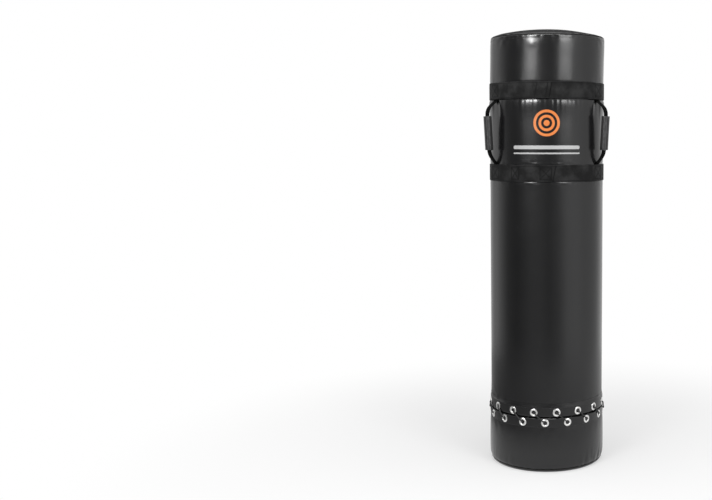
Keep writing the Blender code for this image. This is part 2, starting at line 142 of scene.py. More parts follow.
class Graph:
    """A node tree under construction, for a shader or for Geometry Nodes."""

    def __init__(self, tree: bpy.types.NodeTree) -> None:
        """Start on a tree."""
        self.tree = tree

    def feed(self, socket: bpy.types.NodeSocket, value: Any) -> None:
        """Link a wire to a socket, or set its own value."""
        if isinstance(value, Wire):
            self.tree.links.new(value.socket, socket)
        elif value is not None:
            socket.default_value = value

    def node(
        self,
        kind: str,
        settings: Mapping[str, Any] | None = None,
        inputs: Mapping[str | int, Any] | None = None,
        output: str | int = 0,
    ) -> Wire:
        """Add any node.

        Args:
            kind: the node's type name.
            settings: its properties, set first. "stops" are a ramp's (place, grey) pairs.
            inputs: values or wires for its sockets, by name or number.
            output: the output to return, by name or number.

        Returns:
            The wire from that output.
        """
        node = self.tree.nodes.new(kind)
        for name, value in (settings or {}).items():
            if name == "stops":
                self.set_stops(node.color_ramp, value)
            else:
                setattr(node, name, value)
        for key, value in (inputs or {}).items():
            self.feed(node.inputs[key], value)
        return Wire(self, node.outputs[output])

    @staticmethod
    def set_stops(ramp: bpy.types.ColorRamp, stops: Sequence[tuple[float, float]]) -> None:
        """Write a ramp's stops, each a place and a grey level."""
        while len(ramp.elements) < len(stops):
            ramp.elements.new(1.0)
        for element, (place, grey) in zip(ramp.elements, stops):
            element.position = place
            element.color = (grey, grey, grey, 1.0)

    def maths(self, operation: str, *values: Value, clamp: bool = False) -> Wire:
        """Add a Math node on up to three values."""
        settings = {"operation": operation, "use_clamp": clamp}
        return self.node("ShaderNodeMath", settings, dict(enumerate(values)))

    def smooth(self, value: Value, low: float, high: float) -> Wire:
        """A smooth step from 0 at low to 1 at high."""
        inputs = {"Value": value, "From Min": low, "From Max": high}
        return self.node("ShaderNodeMapRange", {"interpolation_type": "SMOOTHSTEP"}, inputs)

    def vectors(self, operation: str, a: Any, b: Any = None) -> Wire:
        """Add a Vector Math node."""
        return self.node("ShaderNodeVectorMath", {"operation": operation}, {0: a, 1: b})

    def split(self, vector: Wire) -> tuple[Wire, Wire, Wire]:
        """The three parts of a vector."""
        parts = range(3)
        return tuple(self.node("ShaderNodeSeparateXYZ", inputs={0: vector}, output=part) for part in parts)

    def rays(self) -> tuple[Wire, Wire]:
        """1 for rays that show a surface, straight or in a reflection, and 1 for reflections alone."""
        path = self.tree.nodes.new("ShaderNodeLightPath")
        kinds = ("Is Camera Ray", "Is Glossy Ray", "Is Transmission Ray")
        camera, glossy, through = (Wire(self, path.outputs[kind]) for kind in kinds)
        return self.maths("ADD", camera, self.maths("ADD", glossy, through), clamp=True), glossy


class Shader(Graph):
    """A graph that ends in a surface."""

    def noise(self, vector: Wire, scale: float, detail: float = 2.0, roughness: float = 0.5) -> Wire:
        """Noise from 0 to 1 whose largest grains are about 1 / scale across."""
        inputs = {"Vector": vector, "Scale": scale, "Detail": detail, "Roughness": roughness}
        return self.node("ShaderNodeTexNoise", inputs=inputs)

    def mix_colour(self, factor: Value, a: Any, b: Any) -> Wire:
        """Colour a where factor is 0 and colour b where it is 1."""
        first, second = (value if isinstance(value, Wire) else (*value, 1.0) for value in (a, b))
        return self.node("ShaderNodeMix", {"data_type": "RGBA"}, {0: factor, 6: first, 7: second}, output=2)

    def object_coords(self) -> Wire:
        """The place on the dummy, in metres."""
        return self.node("ShaderNodeTexCoord", output="Object")

    def ridges(self, place: Wire) -> Wire:
        """Rounded ridges from 0 to 1, one for each whole step of a place."""
        return self.maths("ABSOLUTE", self.maths("SINE", place * math.pi))

    def uv(self) -> tuple[Wire, Wire]:
        """Metres along and across a strip."""
        along, across, _ = self.split(self.node("ShaderNodeTexCoord", output="UV"))
        return along, across

    def bump(self, height: Wire, distance: float, normal: Wire | None = None) -> Wire:
        """A Bump node whose full height is a distance in metres."""
        inputs = {"Strength": 1.0, "Distance": distance, "Height": height, "Normal": normal}
        return self.node("ShaderNodeBump", inputs=inputs)


@dataclass(frozen=True)
class Finish:
    """A Principled material. Each kind of finish says what goes into its sockets."""

    name: str

    def values(self, shader: Shader) -> Mapping[str, Any]:
        """The numbers and wires for the Principled node's sockets, by name."""
        raise NotImplementedError

    @functools.cache
    def material(self) -> Material:
        """Make the material, once."""
        material = bpy.data.materials.new(self.name)
        material.use_nodes = True
        shader = Shader(material.node_tree)
        surface = material.node_tree.nodes["Principled BSDF"]
        for name, value in self.values(shader).items():
            shader.feed(surface.inputs[name], value)
        return material


@dataclass(frozen=True)
class PrintMark:
    """The plain print on the cover's front: an aiming target of rings above two stripes."""

    target_height: float = 1.0790
    dot_radius: float = 0.0090
    rings: tuple[tuple[float, float], ...] = ((0.0165, 0.0245), (0.0320, 0.0400))
    stripe_half_length: float = 0.1060
    stripes: tuple[tuple[float, float], ...] = ((1.0060, 0.0110), (0.9880, 0.0045))
    edge: float = 0.0004
    target_colour: Colour = linear(251, 143, 66)
    stripe_colour: Colour = linear(205, 205, 205)

    def past(self, shader: Shader, across: Wire, up: Wire, radius: float) -> Wire:
        """0 within a radius and 1 past it, with a soft edge."""
        away = shader.maths("SQRT", across * across + up * up)
        return shader.smooth(away, radius - self.edge, radius + self.edge)

    def target_mask(self, shader: Shader, arc: Wire, height: Wire) -> Wire:
        """1 inside the dot and the rings."""
        up = height - self.target_height
        mask = 1 - self.past(shader, arc, up, self.dot_radius)
        for inner, outer in self.rings:
            mask = mask + self.past(shader, arc, up, inner) * (1 - self.past(shader, arc, up, outer))
        return mask

    def stripe_mask(self, shader: Shader, arc: Wire, height: Wire) -> Wire:
        """1 inside the stripes, whose ends are round."""
        mask = 0.0
        for middle, width in self.stripes:
            half = width / 2
            past_end = shader.maths("ABSOLUTE", arc) - (self.stripe_half_length - half)
            beyond = shader.maths("MAXIMUM", past_end, 0.0)
            mask = mask + (1 - self.past(shader, beyond, height - middle, half))
        return mask


@dataclass(frozen=True)
class VinylFinish(Finish):
    """Smooth black coated vinyl, with a fine grain, faint scuffs and, on the cover, its print."""

    name: str = "black_vinyl"
    colour: Colour = (0.0088, 0.0088, 0.0093)
    scuffed: Colour = (0.0165, 0.0165, 0.0170)
    roughness: float = 0.22
    grain_scale: float = 900.0
    grain_depth: float = 0.000022
    wave_scale: float = 26.0
    wave_depth: float = 0.00016
    cloud_scale: float = 14.0
    fleck_scale: float = 210.0
    scuffed_flecks: Point = (0.58, 0.78)
    scuffed_clouds: Point = (0.45, 0.70)
    worn_flecks: Point = (0.66, 0.74)
    print_depth: float = 0.00006
    print_mark: PrintMark | None = None

    def values(self, shader: Shader) -> Mapping[str, Any]:
        """The sockets' numbers and wires."""
        place = shader.object_coords()
        cloudy = shader.noise(place, self.cloud_scale, detail=4.0)
        flecks = shader.noise(place, self.fleck_scale, detail=3.0, roughness=0.7)
        scuffs = shader.smooth(flecks, *self.scuffed_flecks) * shader.smooth(cloudy, *self.scuffed_clouds)
        colour = shader.mix_colour(scuffs * 0.6 + cloudy * 0.25, self.colour, self.scuffed)
        roughness = self.roughness + (cloudy - 0.5) * 0.08 + scuffs * 0.08
        grain = shader.noise(place, self.grain_scale)
        waves = shader.noise(place, self.wave_scale, detail=1.0)
        normal = shader.bump(waves, self.wave_depth)
        normal = shader.bump(grain, self.grain_depth, normal=normal)
        if self.print_mark:
            x, y, z = shader.split(place)
            arc = shader.maths("ARCTAN2", x, 0 - y) * COVER_RADIUS
            target = self.print_mark.target_mask(shader, arc, z)
            stripes = self.print_mark.stripe_mask(shader, arc, z)
            wear = 1 - shader.smooth(flecks, *self.worn_flecks) * 0.5
            colour = shader.mix_colour(target * wear, colour, self.print_mark.target_colour)
            colour = shader.mix_colour(stripes * wear, colour, self.print_mark.stripe_colour)
            roughness = roughness + (target + stripes) * 0.14
            normal = shader.bump(target + stripes, self.print_depth, normal=normal)
        return {"Base Color": colour, "Roughness": roughness, "Normal": normal}


@dataclass(frozen=True)
class WebbingFinish(Finish):
    """Black woven webbing: ribs along the strap, crossed by the weft, with painted light and shade."""

    name: str = "black_webbing"
    colour: Colour = (0.0040, 0.0040, 0.0042)
    lit_ridge_and_light_tone: Colour = (0.0460, 0.0460, 0.0465)
    rib: float = 0.0017
    weft: float = 0.0030
    depth: float = 0.00035
    fuzz_scale: float = 1500.0
    worn_patch: float = 0.036
    worn: Point = (0.32, 0.70)
    shine: float = 0.16
    sheen: float = 0.03

    def values(self, shader: Shader) -> Mapping[str, Any]:
        """The sockets' numbers and wires."""
        along, across = shader.uv()
        rib_place = across / self.rib
        ribs = shader.ridges(rib_place)
        parity = shader.maths("FLOORED_MODULO", shader.maths("FLOOR", rib_place), 2.0)
        weft = shader.maths("SINE", (along / self.weft + parity * 0.5) * math.tau)
        height = ribs * (0.62 + 0.38 * weft)
        place = shader.object_coords()
        fuzz = shader.noise(place, self.fuzz_scale)
        cloudy = shader.smooth(shader.noise(place, 1.0 / self.worn_patch, detail=3.0), *self.worn)
        # Painted light and shade: the raised ribs are painted lighter and the hollows between them darker.
        # The fuzz and the cloudy worn patches are the webbing's own uneven tone.
        weave_light_and_fuzz = height * 0.45 + (fuzz - 0.5) * 0.4
        tone = shader.maths("ADD", weave_light_and_fuzz * (0.35 + 0.65 * cloudy), cloudy * 0.45 - 0.05, clamp=True)
        # Painted shade along the stitches and the edges, and a painted shadow just past a band's lapped cut
        # end, read from the band's point attribute.
        pressed_and_painted_shade = shader.node("ShaderNodeAttribute", {"attribute_name": "pressed_and_painted_shade"}, output="Fac")
        tone = tone * (1 - pressed_and_painted_shade * 0.95)
        return {
            "Base Color": shader.mix_colour(tone, self.colour, self.lit_ridge_and_light_tone),
            "Roughness": 0.62 + fuzz * 0.2 + pressed_and_painted_shade * 0.15,
            "Specular IOR Level": self.shine,
            "Sheen Weight": self.sheen,
            "Sheen Roughness": 0.45,
            "Normal": shader.bump(height + fuzz * 0.25, self.depth),
        }


@dataclass(frozen=True)
class BraidFinish(Finish):
    """Round braided cord: strands that cross on a bias, on the cord's own UV, with painted light and shade.
    """

    name: str = "black_braid"
    colour: Colour = (0.0080, 0.0080, 0.0085)
    lit_ridge_and_light_tone: Colour = (0.0260, 0.0260, 0.0270)
    strand: float = 0.0011
    depth: float = 0.0002
    fuzz_scale: float = 1800.0

    def values(self, shader: Shader) -> Mapping[str, Any]:
        """The sockets' numbers and wires."""
        along, around = shader.uv()
        rising, falling = (along + around) / self.strand, (along - around) / self.strand
        height = shader.maths("MAXIMUM", shader.ridges(rising), shader.ridges(falling))
        fuzz = shader.noise(shader.object_coords(), self.fuzz_scale)
        # Painted light and shade: the raised strands are painted lighter and the hollows between them
        # darker. The fuzz is the cord's own uneven tone.
        return {
            "Base Color": shader.mix_colour(height * 0.8 + (fuzz - 0.5) * 0.3, self.colour, self.lit_ridge_and_light_tone),
            "Roughness": 0.58 + fuzz * 0.2,
            "Normal": shader.bump(height + fuzz * 0.2, self.depth),
        }


@dataclass(frozen=True)
class ThreadFinish(Finish):
    """Bonded black sewing thread, twisted and slightly shiny."""

    name: str = "black_thread"
    colour: Colour = (0.0190, 0.0190, 0.0200)
    shaded: Colour = (0.0110, 0.0110, 0.0115)
    shine: float = 0.50
    twist: float = 0.0006
    depth: float = 0.00008

    def values(self, shader: Shader) -> Mapping[str, Any]:
        """The sockets' numbers and wires."""
        x, y, z = shader.split(shader.object_coords())
        twist = shader.maths("SINE", (x + y + z) / self.twist * math.tau)
        return {
            "Base Color": shader.mix_colour(twist * 0.5 + 0.5, self.shaded, self.colour),
            "Roughness": 0.46 + twist * 0.06,
            "Specular IOR Level": self.shine,
            "Normal": shader.bump(twist, self.depth),
        }


@dataclass(frozen=True)
class NickelFinish(Finish):
    """Bright nickel plate on stamped brass, with fine scratches."""

    name: str = "nickel_plate"
    colour: Colour = (0.86, 0.86, 0.85)
    dull: Colour = (0.66, 0.65, 0.63)
    roughness: float = 0.30
    tarnish_scale: float = 160.0
    tarnished: Point = (0.45, 0.75)
    scratch_scale: float = 1400.0
    scratch_depth: float = 0.00001

    def values(self, shader: Shader) -> Mapping[str, Any]:
        """The sockets' numbers and wires."""
        place = shader.object_coords()
        scratches = shader.noise(place, self.scratch_scale, roughness=0.8)
        tarnish = shader.smooth(shader.noise(place, self.tarnish_scale, detail=4.0), *self.tarnished)
        return {
            "Base Color": shader.mix_colour(tarnish, self.colour, self.dull),
            "Metallic": 1.0,
            "Roughness": self.roughness + tarnish * 0.12 + (scratches - 0.5) * 0.1,
            "Normal": shader.bump(scratches, self.scratch_depth),
        }


@dataclass(frozen=True)
class RubberFinish(Finish):
    """Dark grey moulded grip rubber: fine pebble, rubbed lobes, painted black shade between and beside
    them.
    """

    name: str = "grip_rubber"
    # The near-black colour is painted shade, in the groove between the lobes and on the grip's sides.
    black: Colour = (0.0022, 0.0022, 0.0023)
    colour: Colour = (0.0440, 0.0440, 0.0450)
    rubbed: Colour = (0.0920, 0.0920, 0.0930)
    roughness: float = 0.50
    shine: float = 0.30
    # Where the painted shade of the groove and of the sides ends, across the grip.
    groove: Point = (0.0012, 0.0036)
    side: Point = (0.0232, 0.0246)
    pebble_scale: float = 1100.0
    pebble_depth: float = 0.00009
    cloud_scale: float = 90.0
    rubbed_clouds: Point = (0.35, 0.75)

    def values(self, shader: Shader) -> Mapping[str, Any]:
        """The sockets' numbers and wires."""
        place = shader.object_coords()
        pebble = shader.noise(place, self.pebble_scale, detail=1.0)
        cloudy = shader.noise(place, self.cloud_scale, detail=3.0)
        across = shader.maths("ABSOLUTE", shader.uv()[1])
        # Painted shade: near black in the groove and on the sides. The lobes' grey is the rubber's colour
        # and partly a painted sheen.
        unshaded_lobes = shader.smooth(across, *self.groove) * (1 - shader.smooth(across, *self.side))
        grey = shader.mix_colour(shader.smooth(cloudy, *self.rubbed_clouds), self.colour, self.rubbed)
        return {
            "Base Color": shader.mix_colour(unshaded_lobes, self.black, grey),
            "Roughness": self.roughness + (cloudy - 0.5) * 0.12,
            "Specular IOR Level": self.shine,
            "Normal": shader.bump(pebble, self.pebble_depth),
        }


@dataclass(frozen=True)
class FoamFinish(Finish):
    """Open-cell foam, pale and pitted, with painted shade in its pits."""

    name: str = "foam"
    colour: Colour = (0.56, 0.53, 0.45)
    painted_pit_shade: Colour = (0.30, 0.27, 0.21)
    cells_per_metre: float = 620.0
    cell_walls: Point = (0.15, 0.55)
    depth: float = 0.0006

    def values(self, shader: Shader) -> Mapping[str, Any]:
        """The sockets' numbers and wires."""
        inputs = {"Vector": shader.object_coords(), "Scale": self.cells_per_metre}
        cells = shader.node("ShaderNodeTexVoronoi", inputs=inputs)
        # Painted shade: the pits between the cell walls take the darker colour.
        depth = shader.smooth(cells, *self.cell_walls)
        return {
            "Base Color": shader.mix_colour(depth, self.painted_pit_shade, self.colour),
            "Roughness": 0.95 - depth * 0.1,
            "Normal": shader.bump(depth, self.depth),
        }


@dataclass(frozen=True)
class Palette:
    """Every finish of the dummy."""

    cover: Finish = VinylFinish("printed_vinyl", print_mark=PrintMark())
    vinyl: Finish = VinylFinish()
    webbing: Finish = WebbingFinish()
    strap: Finish = WebbingFinish("black_strap", (0.0012,) * 3, (0.0050,) * 3, shine=0.03, sheen=0.0)
    braid: Finish = BraidFinish()
    thread: Finish = ThreadFinish()
    dull_thread: Finish = ThreadFinish("dull_thread", (0.0030,) * 3, (0.0015,) * 3, shine=0.05)
    nickel: Finish = NickelFinish()
    rubber: Finish = RubberFinish()
    foam: Finish = FoamFinish()


def outward(azimuth: float) -> Vector:
    """Unit vector out of the dummy at an azimuth in degrees."""
    angle = math.radians(azimuth)
    return Vector((math.sin(angle), -math.cos(angle), 0.0))


def sideways(azimuth: float) -> Vector:
    """Unit vector round the dummy at an azimuth, towards growing azimuths."""
    angle = math.radians(azimuth)
    return Vector((math.cos(angle), math.sin(angle), 0.0))


def on_dummy(azimuth: float, radius: float, height: float) -> Vector:
    """The point at an azimuth, a radius and a height."""
    return outward(azimuth) * radius + Vector((0.0, 0.0, height))


def azimuth_of(point: Vector) -> float:
    """A point's azimuth in degrees."""
    return math.degrees(math.atan2(point.x, -point.y))


def apart(azimuths: np.ndarray | float, target: float) -> np.ndarray:
    """Signed difference from a target azimuth, from -180 to 180 degrees."""
    return (np.asarray(azimuths) - target + 180.0) % 360.0 - 180.0


def smooth_step(values: np.ndarray, low: float, high: float) -> np.ndarray:
    """A smooth step from 0 at low to 1 at high."""
    share = np.clip((np.asarray(values, float) - low) / (high - low), 0.0, 1.0)
    return share * share * (3.0 - 2.0 * share)


def smooth_line(points: Sequence[Sequence[float]], spacing: float) -> list[tuple[float, ...]]:
    """Run a Catmull-Rom curve through points and read it off at about an even spacing.

    Args:
        points: the curve's own points, in two or three dimensions.
        spacing: the wanted distance between the points returned.

    Returns:
        The points read off, with every given point among them.
    """
    known = np.array(points, float)
    before = 2 * known[0] - known[1]
    after = 2 * known[-1] - known[-2]
    padded = np.vstack([before, known, after])
    line = []
    for index in range(1, len(padded) - 2):
        a, b, c, d = padded[index - 1 : index + 3]
        steps = max(1, round(float(np.linalg.norm(c - b)) / spacing))
        for step in range(steps):
            t = step / steps
            tangent_in, tangent_out = (c - a) / 2, (d - b) / 2
            point = (
                (2 * t**3 - 3 * t**2 + 1) * b
                + (t**3 - 2 * t**2 + t) * tangent_in
                + (-2 * t**3 + 3 * t**2) * c
                + (t**3 - t**2) * tangent_out
            )
            line.append(tuple(point))
    line.append(tuple(known[-1]))
    return line


def finished(obj: Object, finish: Finish, angle: float = SMOOTH_ANGLE) -> Object:
    """Merge doubles, turn the faces outwards, shade smooth and give a mesh its finish."""
    bm = bmesh.new()
    bm.from_mesh(obj.data)
    bmesh.ops.remove_doubles(bm, verts=bm.verts, dist=2e-6)
    bmesh.ops.dissolve_degenerate(bm, edges=bm.edges, dist=1e-7)
    bmesh.ops.recalc_face_normals(bm, faces=bm.faces)
    bm.to_mesh(obj.data)
    bm.free()
    obj.data.shade_smooth()
    obj.data.set_sharp_from_angle(angle=math.radians(angle))
    obj.data.materials.clear()
    obj.data.materials.append(finish.material())
    return obj


def add_object(name: str, data: bpy.types.ID) -> Object:
    """Link a new object with its mesh, light or camera."""
    obj = bpy.data.objects.new(name, data)
    bpy.context.scene.collection.objects.link(obj)
    return obj


def lofted(
    name: str,
    rows: np.ndarray,
    close_rows: bool = False,
    close_columns: bool = True,
    caps: bool = False,
    across: np.ndarray | None = None,
) -> Object:
    """Make a mesh from rows of points.

    Args:
        name: the object's name.
        rows: an array of rows by columns by 3.
        close_rows: join the last row to the first.
        close_columns: join each row's last point to its first.
        caps: fill the first and the last row.
        across: UV across each column in metres, else the length along a row.

    Returns:
        The object, with a UV map in metres: the first part runs along the rows, the second across.
    """
    count, columns = rows.shape[:2]
    row_ids = np.arange(count if close_rows else count - 1)
    column_ids = np.arange(columns if close_columns else columns - 1)
    i, j = np.meshgrid(row_ids, column_ids, indexing="ij")
    i, j = i.ravel(), j.ravel()
    next_i, next_j = (i + 1) % count, (j + 1) % columns
    row, next_row = i * columns, next_i * columns
    quads = np.stack([row + j, next_row + j, next_row + next_j, row + next_j], 1)
    faces = quads.tolist()
    if caps:
        faces.append(list(range(columns)))
        faces.append([(count - 1) * columns + column for column in reversed(range(columns))])
    mesh = bpy.data.meshes.new(name)
    mesh.from_pydata(rows.reshape(-1, 3).tolist(), [], faces)
    down = np.linalg.norm(np.diff(rows, axis=0, append=rows[:1]), axis=2).max(axis=1)
    down = np.concatenate([[0.0], np.cumsum(down)])
    if across is None:
        middle = rows[count // 2]
        steps = np.linalg.norm(np.diff(middle, axis=0, append=middle[:1]), axis=1)
        across = np.concatenate([[0.0], np.cumsum(steps)])
    else:
        across = np.append(across, across[0])
    corners = np.stack([[i, j], [i + 1, j], [i + 1, j + 1], [i, j + 1]], 0)
    uv = np.zeros((len(mesh.loops), 2), np.float32)
    quad_uv = np.stack([down[corners[:, 0]], across[corners[:, 1]]], -1)
    uv[: quads.size] = quad_uv.transpose(1, 0, 2).reshape(-1, 2)
    layer = mesh.uv_layers.new(name="UVMap")
    layer.data.foreach_set("uv", uv.ravel())
    return add_object(name, mesh)


def lathe_rows(
    profile: Sequence[Point],
    azimuths: np.ndarray,
    push: np.ndarray | float = 0.0,
) -> np.ndarray:
    """Turn (radius, height) points into rows of points, pushed outwards by an array of rows by columns."""
    angles = np.radians(azimuths)
    radii, heights = np.array(profile, float).T[:, :, None]
    heights = heights + 0.0 * angles
    radii = np.broadcast_to(radii + push, heights.shape)
    return np.stack([radii * np.sin(angles), -radii * np.cos(angles), heights], -1)


def report(piece: Object, rides: str) -> None:
    """Log a finished piece."""
    log.info("%s: %d faces, on %s", piece.name, len(piece.data.polygons), rides)


def settle(
    piece: Object,
    body: str,
    stands_for: Sequence[str],
) -> None:
    """Put a finished piece on its body, in the place of its CAD nodes.

    Args:
        piece: the finished object.
        body: the CAD body that it moves with.
        stands_for: the CAD nodes that it replaces.
    """
    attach(piece, body)
    if stands_for:
        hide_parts(*stands_for)
    report(piece, body)


@dataclass(frozen=True)
class Ripple:
    """Uneven waves round the dummy, from a fixed seed, about -1 to 1."""

    seed: int
    fewest: int
    most: int
    count: int = 14
    crest: float = 1.8

    def at(self, azimuths: np.ndarray) -> np.ndarray:
        """The waves' height at azimuths in degrees."""
        chance = np.random.default_rng(self.seed)
        waves = chance.integers(self.fewest, self.most + 1, self.count)
        phases = chance.uniform(0.0, math.tau, self.count)
        sizes = chance.uniform(0.4, 1.0, self.count)
        angles = np.radians(azimuths)
        total = sum(size * np.cos(wave * angles + phase) for size, wave, phase in zip(sizes, waves, phases))
        return total / math.sqrt(float((sizes**2).sum()) * 0.5) / self.crest


@dataclass(frozen=True)
class Gather:
    """Vinyl that swells and puckers beside a line where it is sewn or squeezed."""

    height: float
    above: bool
    swell: float
    reach: float
    pucker: float
    ripple: Ripple
    fades_at_straps: bool = False

    def push(self, heights: np.ndarray, azimuths: np.ndarray, straps: np.ndarray) -> np.ndarray:
        """How far it pushes points outwards, as rows by columns."""
        away = (heights - self.height) * (1.0 if self.above else -1.0)
        share = np.clip(away, 0.0, None) / self.reach
        hump = share * np.exp(1.0 - share)
        sharp = np.sqrt(np.clip(share, 0.0, None)) * np.exp(0.5 - 0.5 * share**1.5)
        waves = self.ripple.at(azimuths)
        size = hump[:, None] * self.swell + sharp[:, None] * waves[None, :] * self.pucker
        return size * (1.0 - straps * self.fades_at_straps)[None, :]


@dataclass(frozen=True)
class Crease:
    """One short fold: a ridge with a hollow beside it, at an azimuth and a height, turned by a tilt."""

    azimuth: float
    height: float
    length: float
    width: float
    depth: float
    tilt: float

    def push(self, heights: np.ndarray, azimuths: np.ndarray) -> np.ndarray:
        """How far it pushes points outwards, as rows by columns."""
        arc = np.radians(apart(azimuths, self.azimuth))[None, :] * COVER_RADIUS
        up = heights[:, None] - self.height
        turn = math.radians(self.tilt)
        along = arc * math.cos(turn) + up * math.sin(turn)
        aside = up * math.cos(turn) - arc * math.sin(turn)
        window = np.exp(-((along / self.length) ** 2) - (aside / self.width) ** 2)
        return self.depth * window * np.cos(aside / self.width * 1.6)


def wrinkled(
    heights: np.ndarray,
    azimuths: np.ndarray,
    gathers: Sequence[Gather],
    creases: Sequence[Crease],
    straps: np.ndarray,
) -> np.ndarray:
    """How far gathers and creases push a skin outwards, as rows by columns.

    Args:
        heights, azimuths: the skin's rows and columns.
        gathers, creases: what wrinkles it.
        straps: 1 at the azimuths where a strap lies on it, else 0.

    Returns:
        The sum of all their pushes.
    """
    push = sum(gather.push(heights, azimuths, straps) for gather in gathers)
    return push + sum(crease.push(heights, azimuths) for crease in creases)


@dataclass(frozen=True)
class Inflation:
    """A cloth simulation that presses a skin out from inside and lets it pucker where it is held."""

    pressure: float = 4.0
    growth: float = 0.006
    frames: int = 20
    tension: float = 40.0
    bending: float = 0.6
    cap: float = 0.0050
    keep: float = 0.30
    quality: int = 4
    mass: float = 0.3

    def swell(self, line: Sequence[Point], azimuths: np.ndarray, held: np.ndarray) -> np.ndarray:
        """How far a turned skin swells, as rows by columns.

        Args:
            line: the skin's (radius, height) points.
            azimuths: its columns' azimuths.
            held: whether each row is held.

        Returns:
            The part of the simulated swelling that is kept.
        """
        return self.moved(lathe_rows(line, azimuths), held.astype(float)) * self.keep

    def moved(self, rows: np.ndarray, held: np.ndarray) -> np.ndarray:
        """Simulate a skin.

        Args:
            rows: the skin's points, rows by columns by 3, closed round its columns.
            held: how firmly each row is held, from 0 to 1.

        Returns:
            The change of each point's radius, rows by columns.
        """
        obj = lofted("skin_under_pressure", rows)
        group = obj.vertex_groups.new(name="held")
        columns = rows.shape[1]
        for index, weight in enumerate(held):
            if weight > 0.0:
                group.add(list(range(index * columns, (index + 1) * columns)), float(weight), "REPLACE")
        cloth = obj.modifiers.new("vinyl", "CLOTH")
        settings = cloth.settings
        settings.quality = self.quality
        settings.mass = self.mass
        settings.tension_stiffness = self.tension
        settings.compression_stiffness = self.tension
        settings.shear_stiffness = self.tension / 2
        settings.bending_stiffness = self.bending
        settings.use_pressure = True
        settings.uniform_pressure_force = self.pressure
        settings.shrink_min = -self.growth
        settings.vertex_group_mass = group.name
        settings.effector_weights.gravity = 0.0
        cloth.point_cache.frame_start = 1
        cloth.point_cache.frame_end = self.frames
        scene = bpy.context.scene
        for number in range(1, self.frames + 1):
            scene.frame_set(number)
        evaluated = obj.evaluated_get(bpy.context.evaluated_depsgraph_get())
        places = np.zeros(rows.size)
        evaluated.data.vertices.foreach_get("co", places)
        scene.frame_set(1)
        mesh = obj.data
        bpy.data.objects.remove(obj)
        bpy.data.meshes.remove(mesh)
        places = places.reshape(rows.shape)
        change = np.linalg.norm(places[..., :2], axis=-1) - np.linalg.norm(rows[..., :2], axis=-1)
        log.info("inflated: radius changed by %.2f to %.2f mm", change.min() * 1000, change.max() * 1000)
        return np.clip(change, -self.cap, self.cap)


@dataclass(frozen=True)
class Columns:
    """Azimuths of a skin's columns: even all round, and closer at the lapped seam behind."""

    around: int = 240
    lap: float = 0.0075
    step: float = 0.0006
    ridge: float = VINYL * 0.8

    def even(self) -> np.ndarray:
        """Even azimuths all round, for the discs."""
        return np.arange(self.around) * 360.0 / self.around

    def azimuths(self) -> np.ndarray:
        """The columns' azimuths, from 0 to 360 degrees."""
        even = self.even()
        offsets = [self.lap * 1.6, self.lap + self.step, self.lap, self.lap - self.step, self.lap * 0.5]
        offsets = np.array([-offset for offset in offsets] + [0.0] + offsets[::-1])
        close = 180.0 + np.degrees(offsets / COVER_RADIUS)
        clear = np.abs(even - 180.0) > np.degrees(self.lap * 2.0 / COVER_RADIUS)
        return np.sort(np.concatenate([even[clear], close]))

    def lap_push(self, azimuths: np.ndarray) -> np.ndarray:
        """The ridge of the lapped seam behind."""
        away = np.abs(np.radians(apart(azimuths, 180.0))) * COVER_RADIUS
        return self.ridge * (1.0 - smooth_step(away, self.lap - self.step, self.lap + self.step))


@dataclass(frozen=True)
class Layout:
    """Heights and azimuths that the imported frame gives."""

    top: float
    top_seam: float
    upper_band: Point
    lower_band: Point
    cover_edge: float
    cap_edge: float
    upper_row: float
    lower_row: float
    upper_row_azimuth: float
    lower_row_azimuth: float
    handles: Mapping[Side, float]

    @classmethod
    def read(cls) -> "Layout":
        """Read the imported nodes' boxes and the joints."""
        def span(node: str) -> Point:
            low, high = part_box(node)
            return low.z, high.z

        def centre(node: str) -> Vector:
            low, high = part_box(node)
            return (low + high) / 2

        pivots = {joint["child"]: Vector(joint["pos_m"]) for joint in frame["joints"]}
        upper_hole, lower_hole = centre("upper_grommet_01"), centre("lower_grommet_01")
        return cls(
            top=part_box("top_panel")[1].z,
            top_seam=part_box("body_cover")[1].z,
            upper_band=span("upper_band"),
            lower_band=span("lower_band"),
            cover_edge=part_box("body_cover")[0].z,
            cap_edge=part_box("cap_wall")[1].z,
            upper_row=upper_hole.z,
            lower_row=lower_hole.z,
            upper_row_azimuth=azimuth_of(upper_hole),
            lower_row_azimuth=azimuth_of(lower_hole),
            handles={side: azimuth_of(pivots[f"{side.value}_handle"]) for side in Side},
        )

    def from_straps(self, azimuths: np.ndarray) -> np.ndarray:
        """How many degrees azimuths lie from the nearer handle."""
        return np.min([np.abs(apart(azimuths, handle)) for handle in self.handles.values()], axis=0)

def spaced_rows(line: Sequence[Point], lines: Sequence[float], finest: float, widest: float) -> list[Point]:
    """Thin a fine profile out, leaving it fine beside the heights where the skin is held.

    Args:
        line: a profile with closely spaced points.
        lines: the heights where it is held.
        finest, widest: the least and the greatest spacing.

    Returns:
        The points kept, with the first and the last.
    """
    kept = [line[0]]
    gone = 0.0
    for before, point in zip(line, line[1:]):
        gone += math.dist(before, point)
        near = min(abs(point[1] - height) for height in lines)
        if gone >= min(max(near * ROW_GROWTH, finest), widest):
            kept.append(point)
            gone = 0.0
    kept[-1] = line[-1]
    return kept


def hem_fold(edge: float, into: float) -> list[Point]:
    """A hem's folded edge as (radius, height) points, from its outer face to its inner face.

    Args:
        edge: the height of the fold.
        into: 1 where the vinyl lies above the fold, -1 where it lies below.

    Returns:
        The five points of the fold.
    """
    insets = (0.0, 0.0004, HEM_THICKNESS / 2, HEM_THICKNESS - 0.0004, HEM_THICKNESS)
    depths = (0.0012, 0.0002, 0.0, 0.0002, 0.0012)
    return [(HEM_RADIUS - inset, edge + into * depth) for inset, depth in zip(insets, depths)]


